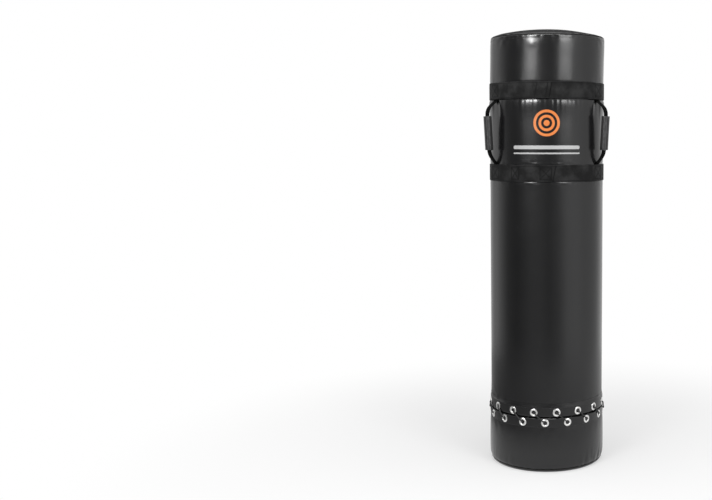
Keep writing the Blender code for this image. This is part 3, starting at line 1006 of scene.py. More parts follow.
@dataclass(frozen=True)
class Cover:
    """The vinyl sleeve, from its seam with the top disc to its folded hem, and that disc."""

    layout: Layout
    palette: Palette
    sewing: "Sewing"
    radius: float = 0.1790
    band_radius: float = 0.1785
    seam_radius: float = 0.1768
    topstitch: float = 0.0120
    lean: float = 0.0027
    lean_depth: float = 0.1450
    dome_sag: float = 0.0016
    dome_pucker: float = 0.0006
    finest_row: float = 0.0016
    widest_row: float = 0.0065
    columns: Columns = Columns()
    inflation: Inflation = Inflation()
    sag: Ripple = Ripple(seed=5, fewest=2, most=9, count=8)
    sag_depth: float = 0.00035
    sag_turns: float = 9.0
    seam_hold: float = 0.0016
    seam_fade: Point = (-0.0004, -0.0030)
    hem_hold: float = HEM_FLAT + 0.0040
    hem_fade: float = 0.0300
    band_hold: float = 0.0010
    lap_below: float = 0.0020
    strap_edge: Point = (5.0, 7.5)
    strap_reach: Point = (0.004, 0.030)
    band_edge: Point = (0.0005, 0.001)

    def outer_line(self) -> list[Point]:
        """The outer face, from the top seam down to the fold of the hem."""
        at = self.layout
        seam, (low_upper, high_upper), (low_lower, high_lower) = at.top_seam, at.upper_band, at.lower_band
        points = [
            (self.seam_radius, seam - 0.0002),
            (0.1778, seam - 0.0009),
            (0.1781, seam - 0.0026),
            (0.1784, seam - 0.0120),
            (0.1789, seam - 0.0240),
            (0.1792, seam - 0.0430),
            (self.radius, seam - 0.0700),
            (self.radius, high_upper + 0.0300),
            (self.band_radius, high_upper),
            (self.band_radius, low_upper),
            (self.radius, (low_upper + high_lower) / 2),
            (self.band_radius, high_lower),
            (self.band_radius, low_lower),
            (0.1788, 0.8000),
            (0.1789, 0.2600),
            (0.1797, at.upper_row + 0.0270),
            (0.1811, at.upper_row + 0.0175),
            (HEM_RADIUS, at.upper_row + HEM_FLAT),
            *hem_fold(at.cover_edge, 1.0),
        ]
        return smooth_line(points, self.finest_row / 2)

    def inner_line(self) -> list[Point]:
        """The inner face, from the hem up to the top seam."""
        at = self.layout
        inside = self.band_radius - VINYL
        return [
            (HEM_RADIUS - HEM_THICKNESS, at.upper_row + HEM_FLAT),
            (0.1809 - HEM_THICKNESS, at.cover_edge + 0.0300),
            (0.1808 - VINYL, at.cover_edge + 0.0310),
            (inside, 0.2600),
            (inside, at.lower_band[0]),
            (inside, at.upper_band[1]),
            (inside, at.top_seam - 0.0120),
            (0.1780 - VINYL, at.top_seam - 0.0030),
            (self.seam_radius - VINYL, at.top_seam - 0.0010),
        ]

    def held_rows(self, heights: np.ndarray) -> np.ndarray:
        """Where a band, the seam or the hem holds the skin."""
        at = self.layout
        held = heights > at.top_seam - self.seam_hold
        held |= heights < at.upper_row + self.hem_hold
        for low, high in (at.upper_band, at.lower_band):
            held |= (heights > low + self.band_hold) & (heights < high - self.band_hold)
        return held

    def gathers(self) -> list[Gather]:
        """The swelling and puckers beside the seam, the bands and the hem."""
        at = self.layout
        (low_upper, high_upper), (low_lower, high_lower) = at.upper_band, at.lower_band
        return [
            Gather(at.top_seam, False, 0.0007, 0.0045, 0.00050, Ripple(11, 26, 72)),
            Gather(at.top_seam - self.topstitch, False, 0.0005, 0.0080, 0.00030, Ripple(17, 20, 48)),
            Gather(high_upper, True, 0.0004, 0.0070, 0.00016, Ripple(12, 20, 60), True),
            Gather(low_upper, False, 0.0029, 0.0155, 0.00070, Ripple(13, 26, 84), True),
            Gather(high_lower, True, 0.0004, 0.0070, 0.00018, Ripple(14, 20, 60), True),
            Gather(low_lower, False, 0.0006, 0.0070, 0.00022, Ripple(15, 24, 70)),
            Gather(at.upper_row + 0.0180, True, 0.0, 0.0120, 0.00045, Ripple(16, 14, 40)),
        ]

    def creases(self) -> list[Crease]:
        """The short folds that show in the vinyl's shine."""
        at = self.layout
        return [
            Crease(-58.0, at.top_seam - 0.010, 0.030, 0.0070, 0.0009, 18.0),
            Crease(-50.0, at.top_seam - 0.022, 0.022, 0.0060, 0.0006, 60.0),
            Crease(66.0, at.top_seam - 0.012, 0.026, 0.0060, 0.0010, -20.0),
            Crease(-15.0, at.top_seam - 0.030, 0.011, 0.0110, 0.0009, 10.0),
            Crease(-64.0, 0.2280, 0.034, 0.0070, 0.0011, -42.0),
            Crease(-78.0, 0.2200, 0.026, 0.0060, 0.0009, -30.0),
            Crease(70.0, 0.2230, 0.030, 0.0060, 0.0008, 26.0),
            Crease(118.0, 0.2260, 0.030, 0.0070, 0.0009, -24.0),
            Crease(-140.0, at.upper_band[0] - 0.020, 0.024, 0.0060, 0.0007, 35.0),
            Crease(160.0, at.top_seam - 0.016, 0.026, 0.0060, 0.0008, 15.0),
        ]

    def build_sleeve(self) -> None:
        """Make the sleeve."""
        at = self.layout
        lines = [at.top_seam, *at.upper_band, *at.lower_band, at.upper_row + 0.015, at.cover_edge]
        outer = spaced_rows(self.outer_line(), lines, self.finest_row, self.widest_row)
        azimuths = self.columns.azimuths()
        heights = np.array(outer)[:, 1]
        straps = 1.0 - smooth_step(at.from_straps(azimuths), *self.strap_edge)
        near_seam, off_seam = (at.top_seam + fade for fade in self.seam_fade)
        free = 1.0 - smooth_step(-heights, -(at.upper_row + self.hem_fade), -(at.upper_row + HEM_FLAT))
        free = free * smooth_step(-heights, -near_seam, -off_seam)
        edges = (*at.upper_band, *at.lower_band)
        near_band = np.min([np.abs(heights - edge) for edge in edges], axis=0)
        under_strap = (1.0 - smooth_step(near_band, *self.strap_reach))[:, None] * straps[None, :]
        push = self.inflation.swell(outer, azimuths, self.held_rows(heights)) * (1.0 - under_strap)
        push += wrinkled(heights, azimuths, self.gathers(), self.creases(), straps)
        push += self.sag.at(azimuths)[None, :] * self.sag_depth * np.cos(heights * self.sag_turns)[:, None]
        outside, inside = self.band_edge
        for low, high in (at.upper_band, at.lower_band):
            above_low = smooth_step(heights, low - outside, low + inside)
            above_high = smooth_step(heights, high - inside, high + outside)
            push *= (1.0 - above_low * (1.0 - above_high))[:, None]
        push *= free[:, None]
        push += self.columns.lap_push(azimuths)[None, :] * (heights < at.top_seam - self.lap_below)[:, None]
        rows = np.vstack([lathe_rows(outer, azimuths, push), lathe_rows(self.inner_line(), azimuths)])
        rows[..., 0] += self.lean * np.clip((rows[..., 2] - at.top_seam) / self.lean_depth + 1.0, 0.0, 1.0)
        piece = finished(lofted("cover_sleeve", rows, close_rows=True), self.palette.cover)
        settle(piece, "dummy", ["body_cover"])
        stitched = int(np.argmin(np.abs(heights - (at.top_seam - self.topstitch))))
        self.sewing.sew("top_seam_stitches", [[Vector(point) for point in rows[stitched]]], [True])

    def build_top(self) -> None:
        """Make the domed disc at the top."""
        at = self.layout
        rise = at.top - at.top_seam
        dome = [(0.0, 1.0), (0.030, 0.976), (0.055, 0.920), (0.110, 0.69), (0.150, 0.42), (0.168, 0.215)]
        outer = [(radius, at.top_seam + rise * share) for radius, share in dome]
        outer += [(0.1757, at.top_seam + 0.0030), (0.1781, at.top_seam + 0.0013)]
        outer += [(self.seam_radius, at.top_seam + 0.0003)]
        line = smooth_line(outer, 0.004)
        azimuths = self.columns.even()
        radii = np.array(line)[:, 0]
        rim = np.clip((0.1781 - radii) / 0.016, 0.0, None)
        puckers = Ripple(21, 22, 58).at(azimuths)[None, :] * self.dome_pucker
        waves = Ripple(22, 9, 30).at(azimuths)[None, :] * self.dome_pucker
        lift = np.exp(-rim)[:, None] * puckers + (np.sqrt(rim) * np.exp(-rim * 0.8))[:, None] * waves
        lift *= smooth_step(radii, 0.0, 0.05)[:, None] * (radii < 0.1778)[:, None]
        rows = lathe_rows(line, azimuths)
        sag = smooth_step(rows[..., 0], 0.030, 0.120) * (1.0 - smooth_step(radii, 0.150, 0.172))[:, None]
        rows[..., 2] += lift - max(0.0, float(lift[: len(line) // 3].max())) - sag * self.dome_sag
        under = [(0.1500, 0.36), (0.1100, 0.66), (0.0550, 0.915), (0.0, 1.0)]
        inside = [(0.1760 - VINYL, at.top_seam + 0.0004)]
        inside += [(radius, at.top_seam + rise * share - VINYL) for radius, share in under]
        rows = np.vstack([rows, lathe_rows(inside, azimuths)])
        rows[..., 0] += self.lean
        piece = finished(lofted("top_disc", rows), self.palette.vinyl)
        settle(piece, "dummy", ["top_panel"])


@dataclass(frozen=True)
class BaseCap:
    """The laced-on cap: its side, and the disc under it."""

    layout: Layout
    palette: Palette
    seam_height: float = 0.0098
    seam_pucker: float = 0.0004
    seam_hold: float = 0.0030
    hem_hold: float = 0.0160
    hem_fade: float = 0.0300
    lap_above: float = 0.0010
    columns: Columns = Columns()
    inflation: Inflation = Inflation(cap=0.0030)

    def outer_line(self) -> list[Point]:
        """The side's outer face, from the fold of its hem down to its seam with the base."""
        at = self.layout
        points = [
            *reversed(hem_fold(at.cap_edge, -1.0)),
            (HEM_RADIUS, at.lower_row - HEM_FLAT),
            (0.1818, at.lower_row - 0.0180),
            (0.1827, 0.1150),
            (0.1832, 0.0700),
            (0.1829, 0.0450),
            (0.1817, 0.0240),
            (0.1802, 0.0150),
            (0.1786, 0.0112),
            (0.1768, self.seam_height + 0.0003),
        ]
        return smooth_line(points, 0.0008)

    def creases(self) -> list[Crease]:
        """The folds at the foot, most of them to the front right."""
        places = [(44.0, 0.026), (52.0, 0.032), (60.0, 0.028), (67.0, 0.034), (75.0, 0.030), (-40.0, 0.022)]
        places += [(-62.0, 0.026), (118.0, 0.028), (150.0, 0.030), (-118.0, 0.028), (-152.0, 0.026)]
        return [
            Crease(azimuth, height, 0.024, 0.0050, 0.0011, 78.0 + 9.0 * math.sin(azimuth))
            for azimuth, height in places
        ]

    def build_side(self) -> None:
        """Make the cap's side."""
        at = self.layout
        lines = [at.cap_edge, at.lower_row - 0.015, self.seam_height]
        outer = spaced_rows(self.outer_line(), lines, 0.0016, 0.0050)
        azimuths = self.columns.azimuths()
        heights = np.array(outer)[:, 1]
        held = (heights > at.lower_row - self.hem_hold) | (heights < self.seam_height + self.seam_hold)
        foot = Gather(self.seam_height, True, 0.0003, 0.0110, 0.00075, Ripple(31, 20, 52))
        laced = Gather(at.lower_row - 0.0175, False, 0.0, 0.0120, 0.00035, Ripple(32, 14, 40))
        push = self.inflation.swell(outer, azimuths, held)
        push += wrinkled(heights, azimuths, (foot, laced), self.creases(), np.zeros(len(azimuths)))
        push *= 1.0 - smooth_step(heights, at.lower_row - self.hem_fade, at.lower_row - HEM_FLAT)[:, None]
        above_seam = heights > self.seam_height + self.lap_above
        push += self.columns.lap_push(azimuths)[None, :] * above_seam[:, None]
        inner = [
            (0.1755, self.seam_height + 0.0010),
            (0.1814 - VINYL, 0.0250),
            (0.1831 - VINYL, 0.0600),
            (0.1817 - VINYL, at.cap_edge - 0.0310),
            (0.1816 - HEM_THICKNESS, at.cap_edge - 0.0300),
            (HEM_RADIUS - HEM_THICKNESS, at.lower_row - HEM_FLAT),
        ]
        rows = np.vstack([lathe_rows(outer, azimuths, push), lathe_rows(inner, azimuths)])
        piece = finished(lofted("cap_side", rows, close_rows=True), self.palette.vinyl)
        settle(piece, "dummy", ["cap_wall"])

    def build_base(self) -> None:
        """Make the disc that stands on the floor."""
        seam = self.seam_height
        outer = [(0.1768, seam - 0.0002), (0.1784, seam - 0.0012), (0.1783, seam - 0.0030)]
        outer += [(0.1766, 0.0036), (0.1738, 0.0009), (0.1710, 0.0), (0.1500, 0.0), (0.0, 0.0)]
        inner = [(0.0, VINYL), (0.1704, VINYL), (0.1752, 0.0050), (0.1756, seam - 0.0012)]
        azimuths = self.columns.even()
        push = np.zeros((len(outer), len(azimuths)))
        push[1:4] = Ripple(33, 18, 50).at(azimuths) * self.seam_pucker
        rows = np.vstack([lathe_rows(outer, azimuths, push), lathe_rows(inner, azimuths)])
        piece = finished(lofted("base_disc", rows, close_rows=True), self.palette.vinyl)
        settle(piece, "dummy", ["base_panel"])


class Generator:
    """A Geometry Nodes tree with named inputs, run on carriers through a modifier that is removed after
    each run.
    """

    KINDS = {
        float: "NodeSocketFloat",
        int: "NodeSocketInt",
        Material: "NodeSocketMaterial",
        Object: "NodeSocketObject",
    }

    def __init__(self, name: str) -> None:
        """Start a tree that takes and gives geometry."""
        self.group = bpy.data.node_groups.new(name, "GeometryNodeTree")
        self.group.interface.new_socket("Geometry", in_out="INPUT", socket_type="NodeSocketGeometry")
        self.group.interface.new_socket("Geometry", in_out="OUTPUT", socket_type="NodeSocketGeometry")
        self.graph = Graph(self.group)
        self.given = self.group.nodes.new("NodeGroupInput")
        self.result = self.group.nodes.new("NodeGroupOutput")

    def inputs(self, kinds: Mapping[str, type]) -> list[Wire]:
        """Add named inputs and return their wires."""
        for name, kind in kinds.items():
            self.group.interface.new_socket(name, in_out="INPUT", socket_type=self.KINDS[kind])
        return [Wire(self.graph, self.given.outputs[name]) for name in kinds]

    def geometry(self) -> Wire:
        """The carrier's own geometry."""
        return Wire(self.graph, self.given.outputs["Geometry"])

    def finish(self, instances: Wire, material: Wire) -> None:
        """End the tree: real meshes, smooth, in one material."""
        real = self.graph.node("GeometryNodeRealizeInstances", inputs={0: instances})
        smooth = self.graph.node("GeometryNodeSetShadeSmooth", inputs={0: real})
        inputs = {"Geometry": smooth, "Material": material}
        dressed = self.graph.node("GeometryNodeSetMaterial", inputs=inputs)
        self.group.links.new(dressed.socket, self.result.inputs["Geometry"])

    def run(self, carrier: Object, values: Mapping[str, Any]) -> Object:
        """Grow the pieces on a carrier, which becomes their plain mesh.

        Args:
            carrier: a mesh object at the origin.
            values: the tree's inputs by name.

        Returns:
            The carrier.
        """
        modifier = carrier.modifiers.new(self.group.name, "NODES")
        modifier.node_group = self.group
        for item in self.group.interface.items_tree:
            if item.in_out == "INPUT" and item.name in values:
                modifier[item.identifier] = values[item.name]
        graph = bpy.context.evaluated_depsgraph_get()
        mesh = bpy.data.meshes.new_from_object(carrier.evaluated_get(graph), depsgraph=graph)
        carrier.modifiers.remove(modifier)
        carrier.data = mesh
        return carrier


class StitchTree(Generator):
    """Stitches along the edges of a carrier, each a short arc of thread that dips into the cloth."""

    def __init__(self) -> None:
        """Build the tree."""
        super().__init__("stitches_along_rows")
        graph = self.graph
        sizes = dict.fromkeys(("Pitch", "Stitch Length", "Thread Radius", "Crown"), float)
        pitch, length, thread, crown, material = self.inputs(sizes | {"Material": Material})
        rows = graph.node("GeometryNodeMeshToCurve", inputs={0: self.geometry()})
        rows = graph.node("GeometryNodeResampleCurve", {"mode": "LENGTH"}, {"Curve": rows, "Length": pitch})
        half = length * 0.5
        start = graph.node("ShaderNodeCombineXYZ", inputs={0: 0 - half, 2: 0 - crown})
        top = graph.node("ShaderNodeCombineXYZ", inputs={2: crown * 2.0})
        end = graph.node("ShaderNodeCombineXYZ", inputs={0: half, 2: 0 - crown})
        arc_inputs = {"Resolution": 4, "Start": start, "Middle": top, "End": end}
        arc = graph.node("GeometryNodeCurveQuadraticBezier", inputs=arc_inputs)
        round_thread = {"Resolution": 6, "Radius": thread}
        ring = graph.node("GeometryNodeCurvePrimitiveCircle", {"mode": "RADIUS"}, round_thread)
        sweep = {"Curve": arc, "Profile Curve": ring, "Fill Caps": True}
        stitch = graph.node("GeometryNodeCurveToMesh", inputs=sweep)
        place = graph.node("GeometryNodeInputPosition")
        out = graph.vectors("NORMALIZE", graph.vectors("MULTIPLY", place, (1.0, 1.0, 0.0)))
        along = graph.node("GeometryNodeInputTangent")
        turn = graph.node(
            "FunctionNodeAxesToRotation",
            {"primary_axis": "Z", "secondary_axis": "X"},
            {"Primary Axis": out, "Secondary Axis": along},
        )
        points = {"Points": rows, "Instance": stitch, "Rotation": turn}
        self.finish(graph.node("GeometryNodeInstanceOnPoints", inputs=points), material)


class RingTree(Generator):
    """Copies of a template set evenly round the dummy, each a little out of true."""

    def __init__(self) -> None:
        """Build the tree."""
        super().__init__("copies_round_the_dummy")
        graph = self.graph
        template, material = self.inputs({"Template": Object, "Material": Material})
        count, seed = self.inputs({"Count": int, "Seed": int})
        sizes = ("Radius", "Height", "First Azimuth", "Tilt")
        radius, height, first, tilt = self.inputs(dict.fromkeys(sizes, float))
        index = graph.node("GeometryNodeInputIndex")
        angle = first + index / count * math.tau
        across = graph.maths("SINE", angle) * radius
        ahead = 0 - graph.maths("COSINE", angle) * radius
        places = graph.node("ShaderNodeCombineXYZ", inputs={0: across, 1: ahead, 2: height})
        points = graph.node("GeometryNodePoints", inputs={"Count": count, "Position": places})
        spread = {2: -1.0, 3: 1.0, "Seed": seed}
        chance = graph.node("FunctionNodeRandomValue", {"data_type": "FLOAT"}, spread, output=1)
        turned = graph.node("ShaderNodeCombineXYZ", inputs={1: chance * tilt, 2: angle - math.pi / 2})
        turn = graph.node("FunctionNodeEulerToRotation", inputs={0: turned})
        shape = graph.node("GeometryNodeObjectInfo", inputs={"Object": template}, output="Geometry")
        inputs = {"Points": points, "Instance": shape, "Rotation": turn}
        self.finish(graph.node("GeometryNodeInstanceOnPoints", inputs=inputs), material)


def row_carrier(name: str, rows: Sequence[Sequence[Vector]], closed: Sequence[bool]) -> Object:
    """A mesh of loose edges, one run of edges for each row of points."""
    places, edges = [], []
    for row, joins in zip(rows, closed):
        first = len(places)
        places += [tuple(point) for point in row]
        edges += [(first + index, first + index + 1) for index in range(len(row) - 1)]
        if joins:
            edges.append((first + len(row) - 1, first))
    mesh = bpy.data.meshes.new(name)
    mesh.from_pydata(places, edges, [])
    return add_object(name, mesh)


@dataclass(frozen=True)
class Sewing:
    """Thread and stitch sizes, and the tree that sews."""

    tree: StitchTree
    thread: Finish
    pitch: float = 0.0042
    length: float = 0.0033
    radius: float = 0.00036
    crown: float = 0.00042

    def sew(self, name: str, rows: Sequence[Sequence[Vector]], closed: Sequence[bool]) -> None:
        """Sew rows of stitches and put them on the dummy."""
        values = {
            "Pitch": self.pitch,
            "Stitch Length": self.length,
            "Thread Radius": self.radius,
            "Crown": self.crown,
            "Material": self.thread.material(),
        }
        piece = self.tree.run(row_carrier(name, rows, closed), values)
        settle(piece, "dummy", [])


@dataclass(frozen=True)
class Band:
    """One webbing band, wrapped once round the cover with its end lapped over its start at the front."""

    name: str
    layout: Layout
    palette: Palette
    sewing: Sewing
    span: Point
    lap_start: float
    lap_angle: float
    boxes: tuple[tuple[float, float], ...]
    seams: tuple[float, ...] = ()
    inner_radius: float = 0.1790
    thickness: float = 0.0025
    lift: float = 0.0029
    lift_half_angle: float = 6.0
    lift_fade_angle: float = 24.0
    edge_inset: float = 0.0036
    corner: float = 0.0008
    wave: float = 0.0003
    slant: float = 10.0
    lap_gap: float = 0.0002
    lap_rise: Point = (357.5, 360.5)
    ribs_across: int = 30
    cross_inset: float = 0.0040
    press_width: float = 0.0013
    press_depth: float = 0.0004
    edge_ease: float = 0.6
    step: float = 0.5
    ripple: Ripple = Ripple(41, 3, 11)
    edge_ripple: Ripple = Ripple(42, 4, 16)

    @property
    def middle(self) -> float:
        """The height of the band's middle."""
        return sum(self.span) / 2

    def lifted(self, azimuths: np.ndarray) -> np.ndarray:
        """How far the band stands out over the handles' straps."""
        near, far = self.lift_half_angle, self.lift_fade_angle
        share = np.clip((self.layout.from_straps(azimuths) - near) / (far - near), 0.0, 1.0)
        return self.lift * (0.5 + 0.5 * np.cos(math.pi * share))

    def layer(self, turned: np.ndarray) -> np.ndarray:
        """How far the lapped end stands out, by the angle turned since the band's start."""
        return (self.thickness + self.lap_gap) * smooth_step(turned, *self.lap_rise)

    def inside(self, azimuths: np.ndarray, turned: np.ndarray) -> np.ndarray:
        """Radius of the band's inner face, by azimuth and the angle turned since the band's start."""
        wave = self.ripple.at(azimuths) * self.wave
        return self.inner_radius + self.lifted(azimuths) + wave + self.layer(turned)

    def sewn(self, azimuths: np.ndarray) -> np.ndarray:
        """Radius of the band's outer face in a line of stitches."""
        turned = (azimuths - self.lap_start) % 360.0
        turned += 360.0 * (turned < self.lap_angle)
        return self.inside(azimuths, turned) + self.thickness - self.press_depth

    def section(self) -> list[Point]:
        """The webbing's section: (outwards, upwards) from its inner face's middle."""
        high, out, bevel = (self.span[1] - self.span[0]) / 2, self.thickness, self.corner
        cut = bevel * 0.3
        corner = [(0.0, high - bevel), (cut, high - cut), (bevel, high)]
        outer_corner = [(out - x, y) for x, y in reversed(corner)]
        ribs = [(out, high * (2 * rib / self.ribs_across - 1.0)) for rib in range(1, self.ribs_across)]
        below = [(x, -y) for x, y in corner] + [(x, -y) for x, y in outer_corner]
        return corner[:1] + below + ribs + outer_corner[::-1] + corner[:0:-1]

    def lap_line(self, back: float) -> tuple[Point, Point]:
        """The (azimuth, height) ends of a slanted line, a distance back from the band's cut end."""
        cut_end = self.lap_start + self.lap_angle
        reach = (self.span[1] - self.span[0]) / 2 - self.edge_inset
        slope = math.tan(math.radians(self.slant))
        ends = ((up, (up * slope - back) / self.inner_radius) for up in (-reach, reach))
        return tuple((cut_end + math.degrees(angle), self.middle + up) for up, angle in ends)

    def stitch_lines(self) -> list[tuple[Point, Point]]:
        """The straight lines of stitches: boxes with a cross in them, and seams across the lap."""
        inset = self.edge_inset + self.cross_inset
        low, high = self.span[0] + inset, self.span[1] - inset
        lines = [self.lap_line(back) for back in self.seams]
        for azimuth, width in self.boxes:
            half_angle = math.degrees(width / 2 / self.inner_radius)
            left, right = azimuth - half_angle, azimuth + half_angle
            a, b, c, d = (left, low), (right, low), (right, high), (left, high)
            lines += [(a, b), (b, c), (c, d), (d, a), (a, c), (d, b)]
        return lines

    def edge_rows(self) -> Point:
        """The heights of the stitches along both edges."""
        return self.span[0] + self.edge_inset, self.span[1] - self.edge_inset

    def pressed_and_painted_shade(self, azimuths: np.ndarray, heights: np.ndarray) -> np.ndarray:
        """1 in a line of stitches and beside the cut end, falling to 0 away: pressed in and painted shade.
        """
        nearest = np.min([np.abs(heights - edge) for edge in self.edge_rows()], axis=0)
        nearest = nearest + self.press_width * self.edge_ease
        # The line just past the cut end is there for a painted shadow on the webbing under the lap.
        for (a, z_a), (b, z_b) in (*self.stitch_lines(), self.lap_line(-self.press_width)):
            run_arc, run_up = math.radians(b - a) * self.inner_radius, z_b - z_a
            arc = np.radians(apart(azimuths, a)) * self.inner_radius
            up = heights - z_a
            share = np.clip((arc * run_arc + up * run_up) / (run_arc**2 + run_up**2), 0.0, 1.0)
            nearest = np.minimum(nearest, np.hypot(arc - share * run_arc, up - share * run_up))
        return np.exp(-((nearest / self.press_width) ** 2))

    def build(self) -> None:
        """Make the band."""
        turned = np.arange(0.0, 360.0 + self.lap_angle + 0.01, self.step)
        azimuths = self.lap_start + turned
        edge_wave = self.edge_ripple.at(azimuths) * self.wave
        section = np.array(self.section())
        cut = math.tan(math.radians(self.slant)) * smooth_step(turned, 360.0, 360.0 + self.lap_angle)
        angles = np.radians(azimuths)[:, None] + cut[:, None] * section[None, :, 1] / self.inner_radius
        out = self.inside(azimuths, turned)[:, None] + section[None, :, 0]
        heights = self.middle + section[None, :, 1] + edge_wave[:, None]
        # This field presses the webbing in, and the finish darkens it there as painted shade.
        pressed_and_painted_shade = self.pressed_and_painted_shade(np.degrees(angles), heights) * (section[None, :, 0] > self.thickness / 2)
        out = out - pressed_and_painted_shade * self.press_depth
        rows = np.stack([out * np.sin(angles), -out * np.cos(angles), heights], -1)
        piece = lofted(f"{self.name}_webbing", rows, caps=True, across=section[:, 1])
        attribute = piece.data.attributes.new("pressed_and_painted_shade", "FLOAT", "POINT")
        attribute.data.foreach_set("value", pressed_and_painted_shade.ravel())
        settle(finished(piece, self.palette.webbing), "dummy", [self.name])

    def build_stitches(self) -> None:
        """Sew the band on along both edges, round the strap ends and across the lap."""
        runs = [[(azimuth, edge) for azimuth in np.arange(0.0, 360.0, 1.0)] for edge in self.edge_rows()]
        closed = [True] * len(runs)
        for (a, z_a), (b, z_b) in self.stitch_lines():
            runs.append([(a + (b - a) * step / 8, z_a + (z_b - z_a) * step / 8) for step in range(9)])
            closed.append(False)
        rows = []
        for azimuths, heights in (np.array(run).T for run in runs):
            places = zip(azimuths, self.sewn(azimuths), heights)
            rows.append([on_dummy(*(float(part) for part in place)) for place in places])
        self.sewing.sew(f"{self.name}_stitches", rows, closed)


@dataclass(frozen=True)
class Closure:
    """The laced joint of cover and cap: hems' stitches, grommets, braided lace and the tongue behind."""

    layout: Layout
    palette: Palette
    sewing: Sewing
    grommets: int = 16
    bore: float = 0.0062
    flange: float = 0.0120
    gap: float = 0.0003
    lace_radius: float = 0.0020
    lace_outside: float = 0.1855
    lace_inside: float = 0.1745
    lace_lip: float = 0.0014
    beside_hole: Point = (0.0034, 0.0072)
    lace_sides: int = 12
    stitch_inset: float = 0.0272
    lace_step: float = 0.0014
    grommet_sides: int = 28
    grommet_tilt: float = 0.02
    tongue: Point = (0.1698, 0.1710)
    tongue_corner: float = 0.0006
    tongue_wave: float = 0.0002

    def grommet_template(self) -> Object:
        """One clinched grommet about the X axis, from the hem's outer face."""
        bore, flange, foot, under = self.bore, self.flange, self.gap, -0.0030
        profile = [
            (bore, under - 0.0010),
            (bore, foot + 0.0001),
            (bore + 0.0004, foot + 0.0008),
            (bore + 0.0011, foot + 0.00125),
            (bore + 0.0020, foot + 0.0014),
            (bore + 0.0031, foot + 0.00125),
            (bore + 0.0043, foot + 0.0009),
            (flange - 0.0006, foot + 0.0006),
            (flange - 0.0001, foot + 0.0003),
            (flange, foot),
            (bore + 0.0007, foot),
            (bore + 0.0007, under),
            (flange - 0.0006, under - 0.0005),
            (flange - 0.0004, under - 0.0009),
            (flange - 0.0012, under - 0.0011),
        ]
        turns = np.arange(self.grommet_sides) * math.tau / self.grommet_sides
        rows = [[(out, r * math.cos(turn), r * math.sin(turn)) for turn in turns] for r, out in profile]
        return finished(lofted("grommet_template", np.array(rows), close_rows=True), self.palette.nickel)

    def build_grommets(self) -> None:
        """Set both rows of grommets."""
        at, tree, template = self.layout, RingTree(), self.grommet_template()
        upper = ("upper", at.upper_row, at.upper_row_azimuth)
        lower = ("lower", at.lower_row, at.lower_row_azimuth)
        for seed, (label, height, azimuth) in enumerate((upper, lower), start=3):
            mesh = bpy.data.meshes.new(f"{label}_grommets")
            values = {
                "Template": template,
                "Count": self.grommets,
                "Radius": HEM_RADIUS,
                "Height": height,
                "First Azimuth": math.radians(azimuth),
                "Tilt": self.grommet_tilt,
                "Seed": seed,
                "Material": self.palette.nickel.material(),
            }
            piece = tree.run(add_object(f"{label}_grommets", mesh), values)
            nodes = [f"{label}_grommet_{index:02d}" for index in range(1, self.grommets + 1)]
            settle(piece, "dummy", nodes)
        bpy.data.objects.remove(template)

    def lace_route(self) -> list[Vector]:
        """The lace's route: out of an upper hole, down to the next lower hole, in, and up to the next."""
        at = self.layout
        step = 180.0 / self.grommets
        rise = at.upper_row - at.lower_row
        length = math.hypot(math.radians(step) * HEM_RADIUS, rise)
        near, far = (distance / length for distance in self.beside_hole)
        hem_middle = HEM_RADIUS - VINYL
        lip_outside, lip_inside = self.lace_outside - self.lace_lip, self.lace_inside + self.lace_lip
        middle_outside = self.lace_outside * math.cos(math.radians(step / 2)) + 0.0001
        middle_height = (at.upper_row + at.lower_row) / 2
        start = at.lower_row_azimuth + step * (self.grommets + 1)
        points = [on_dummy(start - step * 0.52, self.lace_inside, middle_height)]
        for hole in range(2 * self.grommets):
            azimuth = start + step * hole
            downwards = hole % 2 == 0
            height = at.upper_row if downwards else at.lower_row
            lean = -rise if downwards else rise
            radii = [self.lace_inside, lip_inside, hem_middle, lip_outside, self.lace_outside]
            radii = radii if downwards else radii[::-1]
            places = [(-far, far), (-near, near), (0.0, near * 0.35), (near, near), (far, far)]
            points += [
                on_dummy(azimuth + step * along, radius, height + lean * down)
                for (along, down), radius in zip(places, radii)
            ]
            if hole < 2 * self.grommets - 1:
                middle = middle_outside if downwards else self.lace_inside - 0.0003
                points.append(on_dummy(azimuth + step / 2, middle, middle_height))
        last = start + step * (2 * self.grommets - 1)
        points.append(on_dummy(last + step * 0.24, self.lace_inside, at.lower_row + rise * 0.24))
        return points

    def build_lace(self) -> None:
        """Sweep the braided lace along its route."""
        line = np.array(smooth_line(self.lace_route(), self.lace_step))
        ahead = np.gradient(line, axis=0)
        ahead /= np.linalg.norm(ahead, axis=1)[:, None]
        side = np.cross(ahead[0], (0.0, 0.0, 1.0))
        turns = np.arange(self.lace_sides) * math.tau / self.lace_sides
        rows = []
        for place, along in zip(line, ahead):
            side = side - along * float(side @ along)
            side /= np.linalg.norm(side)
            other = np.cross(along, side)
            ring = np.cos(turns)[:, None] * side + np.sin(turns)[:, None] * other
            rows.append(place + ring * self.lace_radius)
        piece = finished(lofted("braided_lace", np.array(rows), caps=True), self.palette.braid)
        settle(piece, "dummy", ["lace"])

    def build_tongue(self) -> None:
        """Make the vinyl strip behind the lacing."""
        low, high = (corner.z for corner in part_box("lace_tongue"))
        (inner, outer), cut = self.tongue, self.tongue_corner
        line = [(outer, high - cut), (outer, (low + high) / 2), (outer, low + cut), (outer - cut, low)]
        line += [(inner, low + cut), (inner, high - cut), (outer - cut, high)]
        azimuths = np.arange(120) * 3.0
        rows = lathe_rows(line, azimuths, Ripple(51, 8, 24).at(azimuths)[None, :] * self.tongue_wave)
        piece = finished(lofted("lace_tongue_strip", rows, close_rows=True), self.palette.vinyl)
        settle(piece, "dummy", ["lace_tongue"])

